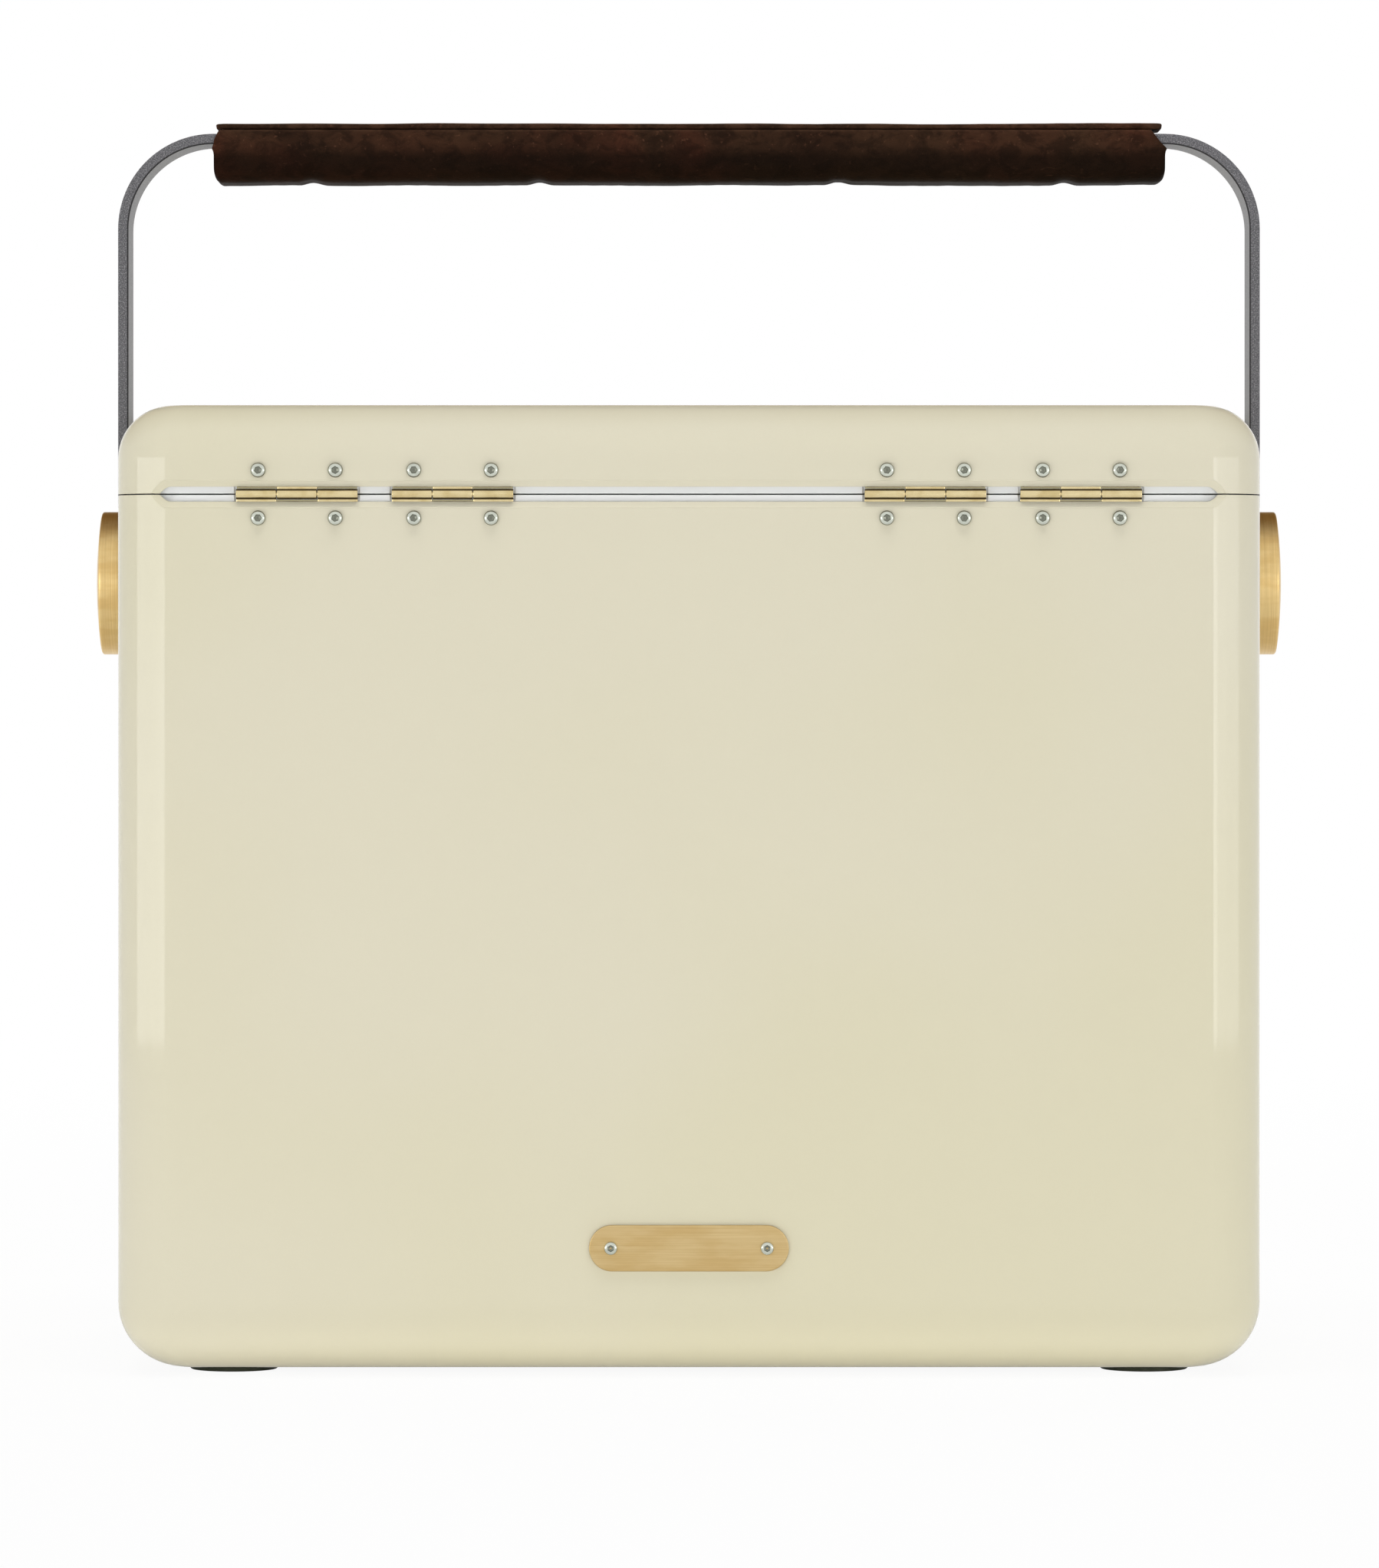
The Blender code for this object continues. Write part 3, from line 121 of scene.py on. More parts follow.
# Each channel: its middle, half lengths at its mouth and foot, and how far both run out at its ends
REAR_CHANNELS = mm((0, 163.6, 162.3, 5.0, 3.7))
FRONT_CHANNELS = mm((-56, 23, 23, 3.85, 2), (56, 23, 23, 3.85, 2))

# Hinge knuckles and leaves, and the heights between which the knuckles' creases are painted dark as shade
BARREL = 1.6 * MM
LEAF = 0.8 * MM
LEAF_Y = HINGE_Y + BARREL - LEAF
TONGUE_BACK = 0.4 * MM
CREASE_SHADE_LOW = 1.0 * MM
CREASE_SHADE_HIGH = 1.62 * MM

# Handle bar: thickness, outer radius of its bends, half width
BAR = 3.4 * MM
BAR_BEND = 31 * MM
ARM_HALF = 12.5 * MM

# Fineness: steps of a bend, columns of a turned piece, degrees past which an edge stays sharp
ARC = 14
TURN = 72
SHARP = 38


# Shapes

def xyz(x, y, z):
    """Points from three coordinates, each an array or one number for all."""
    return np.stack(np.broadcast_arrays(x, y, z), -1)


def eased(corners, radii, steps=4, closed=False):
    """Corner rows with each corner rounded.

    A corner P between unit directions a and b gives way to the parabola (1-t)^2 (P + r a) + 2t(1-t) P
    + t^2 (P + r b), held flat on both sides by one more point at 1.5 r.
    """
    corners = np.asarray(corners, float)
    count = len(corners)
    t = np.linspace(0, 1, steps + 1).reshape((-1,) + (1,) * (corners.ndim - 1))
    rows = []
    for i, here in enumerate(corners):
        if radii[i] == 0 or (not closed and i in (0, count - 1)):
            rows.append(here[None])
            continue
        back, on = corners[i - 1] - here, corners[(i + 1) % count] - here
        back_length = np.linalg.norm(back, axis=-1, keepdims=True)
        on_length = np.linalg.norm(on, axis=-1, keepdims=True)
        reach = np.minimum(radii[i], 0.32 * np.minimum(back_length, on_length))
        back, on = back / back_length * reach, on / on_length * reach
        curve = (1 - t) ** 2 * (here + back) + 2 * t * (1 - t) * here + t ** 2 * (here + on)
        rows += [(here + 1.5 * back)[None], curve, (here + 1.5 * on)[None]]
    return np.concatenate(rows)


def turned(profile, steps=TURN):
    """A (radius, height) profile turned about local Z: (r cos u, r sin u, h)."""
    u = np.linspace(0, 2 * math.pi, steps, endpoint=False)
    radius, height = np.asarray(profile, float).T[..., None]
    return xyz(radius * np.cos(u), radius * np.sin(u), height)


TOWARDS = {
    "+X": ((0, 0, 1), (0, 1, 0), (-1, 0, 0)),
    "-X": ((0, 0, -1), (0, 1, 0), (1, 0, 0)),
    "+Y": ((1, 0, 0), (0, 0, 1), (0, -1, 0)),
    "-Y": ((1, 0, 0), (0, 0, -1), (0, 1, 0)),
    "+Z": ((1, 0, 0), (0, 1, 0), (0, 0, 1)),
}


def posed(grid, towards, at):
    """A grid with its local Z turned towards an axis and its origin moved to a point."""
    return grid @ np.array(TOWARDS[towards], float).T + np.array(at, float)


def rounded(corners, steps, flat):
    """Points along four quarter arcs, each (a, b, radius) about its centre (a, b), with a few more
    along the straights between them."""
    turn = np.linspace(0, math.pi / 2, steps + 1)
    share = np.linspace(0, 1, flat + 2)[1:-1, None]
    arcs = []
    for quarter, (a, b, radius) in enumerate(corners):
        angle = turn + quarter * math.pi / 2
        arcs.append(np.column_stack((a + radius * np.cos(angle), b + radius * np.sin(angle))))
    runs = []
    for arc, after in zip(arcs, arcs[1:] + arcs[:1]):
        runs += [arc, arc[-1] + (after[0] - arc[-1]) * share]
    return np.concatenate(runs)


def slab(half_a, half_b, radius, profile, steps=8, flat=2):
    """A plate: a rounded rectangle about the origin, drawn in by each inset of a profile as
    share x (1 - inset / half size), and lifted to the height that goes with it."""
    a, b = half_a - radius, half_b - radius
    outline = rounded(((a, b, radius), (-a, b, radius), (-a, -b, radius), (a, -b, radius)), steps, flat)
    halves = np.array((half_a, half_b))
    return np.array([xyz(*(outline * (1 - inset / halves)).T, rise) for inset, rise in profile])


def closed(grid, loop, start):
    """Points, numbered from start, and faces of a closed mesh over a grid whose columns wrap round.

    Its rows either wrap too (loop) or end in a flat face. The faces are turned outwards by the sign
    of the volume, the sum of a . (b x c) / 6 over the triangles.
    """
    rows, columns = grid.shape[:2]
    points = grid.reshape(-1, 3)
    index = np.arange(rows * columns).reshape(rows, columns)
    here, there = (index, np.roll(index, -1, 0)) if loop else (index[:-1], index[1:])
    quads = np.stack((here, np.roll(here, -1, 1), np.roll(there, -1, 1), there), -1).reshape(-1, 4)
    a, b, c, d = (points[quads[:, i]] for i in range(4))
    volume = (a * np.cross(b, c)).sum() + (a * np.cross(c, d)).sum()
    caps = [] if loop else [index[0][::-1], index[-1]]
    for cap in caps:
        first, fan = points[cap[0]], points[cap[1:]]
        volume += (first * np.cross(fan[:-1], fan[1:])).sum()
    way = 1 if volume > 0 else -1
    ends = [(start + cap[::way]).tolist() for cap in caps]
    return points.tolist(), (start + quads[:, ::way]).tolist() + ends


def placed(name, data):
    """A new object in the scene."""
    made = bpy.data.objects.new(name, data)
    bpy.context.scene.collection.objects.link(made)
    return made


def piece(name, look, body, node, *grids, loop=False, sharp=SHARP):
    """Closed grids as one piece that rides on a body and stands for a node of the frame."""
    corners, faces = [], []
    for grid in grids:
        points, sides = closed(grid, loop, len(corners))
        corners += points
        faces += sides
    mesh = bpy.data.meshes.new(name)
    mesh.from_pydata(corners, [], faces)
    mesh.validate()
    mesh.shade_smooth()
    mesh.set_sharp_from_angle(angle=math.radians(sharp))
    mesh.materials.append(LOOKS[look])
    made = placed(name, mesh)
    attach(made, body)
    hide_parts(node)


# Materials

class Wire:
    """A node's output that takes part in sums: each operator adds its Math node."""

    def __init__(self, nodes, socket):
        self.nodes, self.socket = nodes, socket

    def math(self, operation, *others):
        """The result of a Math node on this value and the others."""
        return self.nodes.add("Math", {"operation": operation}, dict(enumerate((self, *others))))

    def __add__(self, other):
        return self.math("ADD", other)

    def __sub__(self, other):
        return self.math("SUBTRACT", other)

    def __rsub__(self, other):
        return (self * -1).math("ADD", other)

    def __mul__(self, other):
        return self.math("MULTIPLY", other)

    def __pow__(self, other):
        return self.math("POWER", other)

    __radd__, __rmul__ = __add__, __mul__

    def between(self, low, high):
        """0 below low, 1 above high, and a smooth step in between."""
        inputs = {"Value": self, "From Min": low, "From Max": high}
        return self.nodes.add("MapRange", {"interpolation_type": "SMOOTHSTEP"}, inputs)


class Nodes:
    """A node tree in the making, a material's or the world's."""

    def __init__(self, tree):
        self.tree = tree

    def add(self, kind, settings=None, inputs=None, output=0):
        """One node: its settings first, then the values or links of its sockets. Gives one output."""
        node = self.tree.nodes.new("ShaderNode" + kind)
        for name, value in (settings or {}).items():
            setattr(node, name, value)
        for name, value in (inputs or {}).items():
            if isinstance(value, Wire):
                self.tree.links.new(value.socket, node.inputs[name])
            else:
                node.inputs[name].default_value = value
        return Wire(self, node.outputs[output])

    def parts(self, vector):
        """The x, y and z of a vector."""
        split = self.add("SeparateXYZ", None, {0: vector}).socket.node
        return [Wire(self, axis) for axis in split.outputs]

    def rays(self):
        """1 or 0 for a ray from the camera, off something glossy, and through something clear."""
        path = self.add("LightPath").socket.node
        return [Wire(self, path.outputs[f"Is {kind} Ray"]) for kind in SEEN_RAYS]

    def mix(self, share, first, second):
        """A colour between two, each a colour or another mix."""
        first, second = (value if isinstance(value, Wire) else (*value, 1) for value in (first, second))
        return self.add("Mix", {"data_type": "RGBA"}, {0: share, 6: first, 7: second}, 2)


class Finish(Nodes):
    """A material in the making: its shader's constants, and short ways to add nodes."""

    def __init__(self, slot, colour, roughness, metallic=0.0, **constants):
        self.material = LOOKS[slot] = bpy.data.materials.new(slot + "_look")
        self.material.use_nodes = True
        super().__init__(self.material.node_tree)
        self.shader = self.tree.nodes["Principled BSDF"]
        constants |= {"Base_Color": (*colour, 1), "Roughness": roughness, "Metallic": metallic}
        for name, value in constants.items():
            self.shader.inputs[name.replace("_", " ")].default_value = value
        self.here = self.add("TexCoord", output="Object")
        self.x, self.y, self.z = self.parts(self.here)

    def stretched(self, x, y, z):
        """Object coordinates scaled along each axis, in cycles per metre."""
        return self.add("Mapping", None, {"Vector": self.here, "Scale": (x, y, z)})

    def joined(self, x, y, z):
        """A vector from three values."""
        return self.add("CombineXYZ", None, {"X": x, "Y": y, "Z": z})

    def noise(self, scale, detail=3, rough=0.5, warp=0, vector=None):
        """Fractal noise about 0.5, in cycles per metre or per unit of a vector."""
        inputs = {"Vector": vector or self.here, "Scale": scale, "Detail": detail, "Roughness": rough,
                  "Distortion": warp}
        return self.add("TexNoise", None, inputs)

    def cells(self, scale, feature="F1"):
        """Distance pattern of Voronoi cells, in cycles per metre."""
        inputs = {"Vector": self.here, "Scale": scale}
        return self.add("TexVoronoi", {"feature": feature}, inputs, "Distance")

    def tint(self, share, first, second):
        """The base colour: a mix of two."""
        self.set("Base Color", self.mix(share, first, second))

    def set(self, socket, value):
        """Feed one of the shader's varying sockets."""
        self.tree.links.new(value.socket, self.shader.inputs[socket])

    def bumps(self, *layers):
        """Bump nodes in a chain, each with its height, strength and distance in metres."""
        normal = None
        for height, strength, distance in layers:
            inputs = {"Height": height, "Strength": strength, "Distance": distance}
            if normal:
                inputs["Normal"] = normal
            normal = self.add("Bump", None, inputs)
        self.set("Normal", normal)


LOOKS = {}
SEEN_RAYS = ("Camera", "Glossy", "Transmission")


def colour(red, green, blue):
    """A colour written in 0 to 255 screen values, made linear."""
    shares = [value / 255 for value in (red, green, blue)]
    return tuple(s / 12.92 if s <= 0.04045 else ((s + 0.055) / 1.055) ** 2.4 for s in shares)


def cream_paint():
    """Gloss stoving paint: faint cloudy drift in tone, orange peel under a hard clear coat."""
    f = Finish("cream_paint", colour(222, 216, 190), 0.55, Coat_Weight=1.0, Coat_Roughness=0.03, Coat_IOR=1.5,
               Specular_IOR_Level=0.15)
    drift = f.noise(5, 2)
    shade = f.mix(drift.between(0.35, 0.65), colour(224, 218, 194), colour(222, 216, 187))
    fine = f.noise(2600, 2)
    f.tint(fine.between(0.3, 0.7) * 0.10, shade, colour(214, 208, 180))
    f.set("Roughness", f.noise(30) * 0.10 + 0.50)
    f.bumps((f.noise(420, 1), 0.05, 0.0005), (fine, 0.04, 0.0001))


def white_liner():
    """Moulded white plastic with a faint sheen and a fine vapour-blasted grain."""
    f = Finish("white_liner", colour(247, 248, 247), 0.34)
    grain = f.noise(3200, 2)
    f.tint(f.noise(12, 2) * 0.5, colour(250, 251, 250), colour(240, 242, 240))
    f.set("Roughness", grain * 0.12 + 0.28)
    f.bumps((grain, 0.10, 0.0001), (f.noise(60, 1), 0.05, 0.0008))


def foam():
    """Cut polyurethane foam: pale yellow with open cells."""
    f = Finish("foam", colour(240, 232, 205), 0.95)
    cell = f.cells(700)
    f.tint(cell.between(0.1, 0.8), colour(205, 190, 150), colour(243, 236, 212))
    f.bumps((cell, 0.6, 0.0006))


def rubber(slot, tone, light, grain):
    """Moulded rubber: dull, with a fine grain and dusty high spots."""
    f = Finish(slot, tone, 0.72, Specular_IOR_Level=0.2)
    fine = f.noise(grain)
    f.tint(f.noise(90).between(0.45, 0.8), tone, light)
    f.set("Roughness", fine * 0.25 + 0.58)
    f.bumps((fine, 0.25, 0.0002))


def turned_brass():
    """Brushed brass. The brush follows the circle round the handle's pivots, and X on flat plates.

    Round the pivots the pattern runs over x and the distance from the pivot line, which keeps still
    along each circle; away from them it runs over z and depth, which keeps still along X. Round the pivots
    the same brass is painted brighter, a painted highlight.
    """
    f = Finish("brushed_brass", colour(200, 173, 120), 0.34, 1.0)
    away = (f.y ** 2 + (f.z - PIVOT_Z) ** 2) ** 0.5
    on_pivot = f.x.math("ABSOLUTE").between(HALF_X - 2 * MM, HALF_X)
    rings = f.joined(f.x * 5200, away * 5200, f.z * 18)
    lines = f.joined(f.x * 22, f.y * 3000, f.z * 5200)
    brush = f.mix(on_pivot, f.noise(1, 4, 0.6, vector=lines), f.noise(1, 4, 0.6, vector=rings))
    streak = f.add("RGBToBW", None, {0: brush})
    broad = f.noise(1, vector=f.joined(f.x * 60, f.y * 60, f.z * 240))
    flat = f.mix(broad.between(0.35, 0.65), colour(204, 176, 122), colour(214, 190, 140))
    # painted highlight: a brighter copy of the same brass for the pivot caps
    pivot_painted_highlight = f.mix(broad.between(0.35, 0.65), colour(228, 194, 130), colour(240, 211, 150))
    tone_with_pivot_highlight = f.mix(on_pivot, flat, pivot_painted_highlight)
    f.tint(streak.between(0.3, 0.7) * 0.40, tone_with_pivot_highlight, colour(184, 150, 94))
    f.set("Roughness", streak * 0.20 + 0.26)
    f.bumps((streak, 0.22, 0.00012))


def hinge_brass():
    """Drawn brass: fine lines along the hinge, bright, with painted shade in its creases.

    The creases are the strips above and below the split where the leaf curls, painted dark as shade;
    the set-back tongues are painted a dull khaki as shade.
    """
    f = Finish("hinge_brass", colour(220, 204, 156), 0.24, 1.0)
    lines = f.noise(1, 3, 0.6, vector=f.stretched(60, 5200, 5200))
    tarnish = f.noise(160)
    base = f.mix(tarnish.between(0.4, 0.75), colour(230, 214, 168), colour(210, 190, 138))
    base = f.mix(lines.between(0.35, 0.7) * 0.30, base, colour(186, 160, 106))
    rise = (f.z - SPLIT_Z).math("ABSOLUTE")
    beyond = rise.between(CREASE_SHADE_HIGH, CREASE_SHADE_HIGH + 0.06 * MM)
    # painted shade: a dark band in the creases where each leaf curls into its knuckle
    crease_painted_shade = rise.between(CREASE_SHADE_LOW, CREASE_SHADE_LOW + 0.16 * MM) * (1 - beyond)
    # painted shade: the set-back tongues darker, as in shade behind the knuckles
    recess_painted_shade = f.y.between(LEAF_Y + 0.15 * MM, LEAF_Y + 0.3 * MM)
    base = f.mix(recess_painted_shade, base, colour(168, 160, 128))
    f.tint(crease_painted_shade * 0.94, base, colour(62, 44, 12))
    f.set("Roughness", lines * 0.16 + crease_painted_shade * 0.4 + 0.17)
    f.bumps((lines, 0.10, 0.00008))


def bright_steel(slot, tone, roughness, rim=0.0):
    """Stainless steel with faint turning marks and handling haze. Where rim is above 0, the metal within
    about a millimetre of the box's rear face is painted that much darker, painted shade on the edge and in
    the socket of a head. The name plate's screws stand further out by the plate's thickness."""
    f = Finish(slot, tone, roughness, 1.0)
    haze = f.noise(260)
    fine = f.noise(4200)
    darker = tuple(value * 0.78 for value in tone)
    base = f.mix(haze.between(0.4, 0.8) * 0.6, tone, darker)
    on_plate = 1 - f.z.between(PLATE_Z + 10 * MM, PLATE_Z + 20 * MM)
    # painted shade: darker near the rear face, round the head's edge and down its socket
    low = (f.y + HALF_Y + on_plate * 0.55 * MM).between(-1.55 * MM, -1.05 * MM)
    f.tint(low * rim, base, colour(96, 97, 84))
    f.set("Roughness", haze * 0.14 + (roughness - 0.05))
    f.bumps((fine, 0.08, 0.00006))


def grey_bar():
    """Bead-blasted grey bar: dark, with a fine sparkling speckle and a painted dark line of shade along its
    inner edges.
    """
    f = Finish("grey_bar", colour(98, 97, 101), 0.46, Specular_IOR_Level=0.5)
    speck = f.noise(2400, 2, 0.7)
    cloud = f.noise(45)
    base = f.mix(cloud.between(0.35, 0.65), colour(90, 89, 93), colour(80, 80, 83))
    over_x = (f.x.math("ABSOLUTE") - (BAIL_HIGH.x - BAR_BEND)).math("MAXIMUM", 0)
    over_z = (f.z - (BAIL_HIGH.z - BAR_BEND)).math("MAXIMUM", 0)
    from_inside = (over_x ** 2 + over_z ** 2) ** 0.5 - (BAR_BEND - BAR)
    # painted shade: a dark line along the bar's inner edges
    arris_painted_shade = f.y.math("ABSOLUTE").between(ARM_HALF - 0.5 * MM, ARM_HALF - 0.3 * MM)
    arris_painted_shade = arris_painted_shade * (1 - from_inside.between(0.35 * MM, 0.6 * MM))
    coarse = f.noise(1300, 2, 0.7)
    base = f.mix(coarse.between(0.35, 0.60), colour(74, 73, 77), base)
    base = f.mix(speck.between(0.46, 0.66), base, colour(140, 139, 143))
    f.tint(arris_painted_shade * 0.9, base, colour(30, 29, 31))
    f.set("Roughness", speck * 0.20 + arris_painted_shade * 0.4 + 0.32)
    f.bumps((speck, 0.35, 0.00012))


def brown_leather():
    """Waxed full-grain leather: deep brown with red-brown wear, pores, creases and scuffs, painted lighter
    along its top and darker underneath, as painted light and shade.
    """
    f = Finish("brown_leather", colour(44, 29, 21), 0.6, Specular_IOR_Level=0.04)
    cloud = f.noise(26, 4, 0.6, 0.4)
    patch = f.noise(12, 3, 0.55, 0.6)
    base = f.mix(cloud.between(0.35, 0.68), colour(46, 29, 19), colour(62, 42, 29))
    # painted light: the top millimetre of the grip lighter, as lit from above
    base = f.mix(f.z.between(GRIP_HIGH.z - 1 * MM, GRIP_HIGH.z) * 0.8, base, colour(74, 52, 38))
    ends = f.x.math("ABSOLUTE").between(0.72 * GRIP_HIGH.x, 0.98 * GRIP_HIGH.x)
    base = f.mix(patch.between(0.44, 0.66) * (ends * 0.4 + 0.45), base, colour(92, 46, 33))
    mottle = f.noise(1, 4, 0.65, 0.5, f.stretched(150, 210, 210))
    base = f.mix(mottle.between(0.36, 0.60), f.mix(0.55, base, colour(14, 8, 5)), base)
    fleck = f.noise(620, 3, 0.6)
    base = f.mix(fleck.between(0.60, 0.74) * 0.35, base, colour(110, 74, 56))
    # painted shade: the grip darker towards its underside
    under = 1 - f.z.between(GRIP_LOW.z + 8 * MM, GRIP_HIGH.z - 4 * MM)
    base = f.mix(under * 0.8, base, colour(16, 8, 3))
    scuff_line = f.noise(1, 3, 0.6, 1.2, f.stretched(90, 700, 260))
    scuff = scuff_line.between(0.66, 0.74) * patch.between(0.4, 0.6)
    f.tint(scuff * 0.35, base, colour(104, 72, 52))
    pores = f.cells(1500, "DISTANCE_TO_EDGE")
    wrinkle = f.noise(1, 4, 0.6, 1.5, f.stretched(160, 420, 420))
    grain = f.noise(2800)
    f.set("Roughness", grain * 0.22 + cloud * 0.16 + 0.42)
    f.bumps((pores.between(0.0, 0.12), 0.22, 0.00014), (wrinkle, 0.35, 0.0005), (grain, 0.18, 0.0001))


def moulded(slot, tone):
    """Plain moulded plastic for pieces that hardly show."""
    f = Finish(slot, tone, 0.55)
    grain = f.noise(2600, 2)
    f.tint(grain * 0.3, tone, tuple(value * 1.5 for value in tone))
    f.set("Roughness", grain * 0.2 + 0.45)
    f.bumps((grain, 0.2, 0.0001))


cream_paint()
white_liner()
foam()
rubber("seal_rubber", colour(84, 84, 82), colour(110, 110, 106), 3000)
rubber("foot_rubber", colour(70, 74, 61), colour(94, 97, 84), 2200)
turned_brass()
hinge_brass()
# the last value is the share of painted shade near the rear face
bright_steel("screw_steel", colour(206, 210, 198), 0.16, 0.8)
bright_steel("plain_steel", colour(176, 178, 180), 0.36)
grey_bar()
brown_leather()
moulded("core_plastic", colour(30, 26, 24))
moulded("bush_nylon", colour(38, 38, 40))


# Box walls: columns are stations round the box, as a share of the inner rectangle and a normal

def run_of_x():
    """X of the plain columns of a long side: sines of even angles round the corners, a few between."""
    arc = FLAT_X + EDGE * np.sin(np.linspace(0, math.pi / 4, 9))
    half = np.concatenate((np.linspace(10 * MM, FLAT_X - 1 * MM, 5), arc))
    return np.concatenate((-half[::-1], half))


def long_side(channels):
    """Columns of a long side: X at the channel's mouth, X at its foot, and depth from 0 to 1.

    Past a channel's end x runs on by run sin(a) and the depth falls as 1 - sin(a)^2, a pointed parabola.
    """
    plain = run_of_x()
    mouth, foot, depth, edge = [], [], [], -math.inf
    swing = np.linspace(0, math.pi / 2, 9)
    for centre, half_mouth, half_foot, mouth_run, foot_run in channels:
        middle = centre + np.linspace(-0.9, 0.9, 5) * half_foot
        at_mouth = half_mouth + mouth_run * np.sin(swing)
        at_foot = half_foot + foot_run * np.sin(swing)
        x_mouth = np.concatenate((centre - at_mouth[::-1], middle, centre + at_mouth))
        x_foot = np.concatenate((centre - at_foot[::-1], middle, centre + at_foot))
        before = plain[(plain > edge + 0.4 * MM) & (plain < x_mouth[0] - 0.4 * MM)]
        mouth += [before, x_mouth]
        foot += [before, x_foot]
        fall = np.cos(swing) ** 2
        depth += [np.zeros(len(before)), fall[::-1], np.ones(len(middle)), fall]
        edge = x_mouth[-1]
    after = plain[plain > edge + 0.4 * MM]
    ends = (mouth, after), (foot, after), (depth, 0 * after)
    return [np.concatenate((*rows, last)) for rows, last in ends]


def long_stations(x, facing):
    """Stations of a long side at these X: on the flat the normal is level, round a corner it is
    (sin a, cos a) with sin a the distance past the flat over the corner's radius."""
    over = np.clip((np.abs(x) - FLAT_X) / EDGE, 0, 1)
    return np.column_stack((np.clip(x / FLAT_X, -1, 1), np.full(len(x), facing),
                            np.sign(x) * over, facing * np.sqrt(1 - over ** 2)))


def short_stations():
    """Stations of the right side between the middles of its two corners."""
    angle = np.linspace(-math.pi / 4, 0, 9)[1:]
    arc = np.column_stack((np.ones(8), -np.ones(8), np.cos(angle), np.sin(angle)))
    share = np.array((-0.99, -0.5, 0, 0.5, 0.99))
    flat = np.column_stack((np.ones(5), share, np.ones(5), np.zeros(5)))
    return np.concatenate((arc, flat, arc[::-1] * (1, -1, 1, -1)))


def stations(rear, front):
    """All stations, anticlockwise from the rear's left: rear, right, front, left."""
    side = short_stations()
    return np.concatenate((long_stations(rear, -1), side, -long_stations(front, -1), -side))


def ring(place, out, radius, z):
    """The box's outline at a level, set in by out: share x (half - out - radius) + normal x radius."""
    x = place[:, 0] * (HALF_X - out - radius) + place[:, 2] * radius
    y = place[:, 1] * (HALF_Y - out - radius) + place[:, 3] * radius
    return xyz(x, y, z)


def wall(place, inset, z):
    """A ring of a wall set in by inset: the corner's radius shrinks with it, down to the liner's."""
    return ring(place, inset, np.maximum(EDGE - inset, LINER_EDGE), z)


def bowl(place, inset, bend, flat_z, rise, steps=ARC):
    """Rings from a flat base up round a quarter bend: out = inset + bend (1 - sin a),
    z = base + bend (1 - cos a), with the corner's radius opening as the bend turns upright."""
    edge = max(EDGE - inset, LINER_EDGE)
    taken = CORNER_SHARE * min(bend, edge)
    rows = [ring(place, inset + bend + 1.5 * MM, max(edge - taken - 0.5 * MM, 0.5 * MM), flat_z)]
    for angle in np.linspace(0, math.pi / 2, steps + 1):
        lean = 1 - math.sin(angle)
        z = flat_z + rise * bend * (1 - math.cos(angle))
        rows.append(ring(place, inset + bend * lean, edge - taken * lean, z))
    rows.append(wall(place, inset, flat_z + rise * (bend + 1.5 * MM)))
    return np.array(rows)


REAR_X, FRONT_X = long_side(REAR_CHANNELS), long_side(FRONT_CHANNELS)
AT_MOUTH = stations(REAR_X[0], FRONT_X[0])
AT_FOOT = stations(REAR_X[1], FRONT_X[1])
SIDE_ZEROS = np.zeros(len(short_stations()))
DEPTH = np.concatenate((REAR_X[2], SIDE_ZEROS, FRONT_X[2], SIDE_ZEROS))
HINGE_STEPS = [end + step for low, high in HINGES.values()
               for end, step in zip((low.x, low.x, high.x, high.x), mm(-0.7, -0.3, 0.3, 0.7))]
LINER_REAR = np.sort(np.concatenate((run_of_x(), HINGE_STEPS)))
PLAIN = stations(LINER_REAR, run_of_x())


def flare():
    """How far the liners' rims stand out at each station: RIM_FLARE along the rear, nothing at a hinge."""
    out, clear = np.zeros(len(PLAIN)), np.abs(LINER_REAR) < FLAT_X
    for low, high in HINGES.values():
        clear &= (LINER_REAR < low.x - 0.5 * MM) | (LINER_REAR > high.x + 0.5 * MM)
    out[:len(LINER_REAR)] = clear * RIM_FLARE
    return out


def shell(name, node, body, flat_z, bend, rim, rise):
    """A painted pan: outer bend and wall, the edge that dips and slopes at the channels behind a fine
    pressed line, and the inner wall. The lip closes on the seam by SEAM_CLOSE outside the channels."""
    lip = rim + rise * SEAM_CLOSE * (1 - DEPTH)
    dip_mouth = lip - rise * MOUTH_HALF * DEPTH
    dip_foot = lip - rise * FOOT_HALF * DEPTH
    below = rim - rise * 9 * MM
    edge = eased([
        wall(AT_MOUTH, 0, below),
        wall(AT_MOUTH, 0, dip_mouth - rise * 2 * PRESS_LINE),
        wall(AT_MOUTH, 0.5 * PRESS_LINE * DEPTH, dip_mouth - rise * PRESS_LINE),
        wall(AT_MOUTH, 0, dip_mouth),
        wall(AT_FOOT, SLOPE_DEPTH, dip_foot),
        wall(AT_FOOT, SHEET, dip_foot),
        wall(AT_FOOT, SHEET, below),
    ], mm(0, 0.05, 0.05, 0.12, 0.2, 0.1, 0))
    outside = bowl(AT_MOUTH, 0, bend, flat_z, rise)
    inside = bowl(AT_FOOT, SHEET, bend - SHEET, flat_z + rise * SHEET, rise, 6)
    piece(name, "cream_paint", body, node, np.concatenate((outside, edge, inside[::-1])))


def rings(corners, radii, closed=False):
    """Rings of a wall at each (inset, height), the corners between them rounded."""
    return eased([wall(PLAIN, inset, z) for inset, z in corners], mm(*radii), closed=closed)


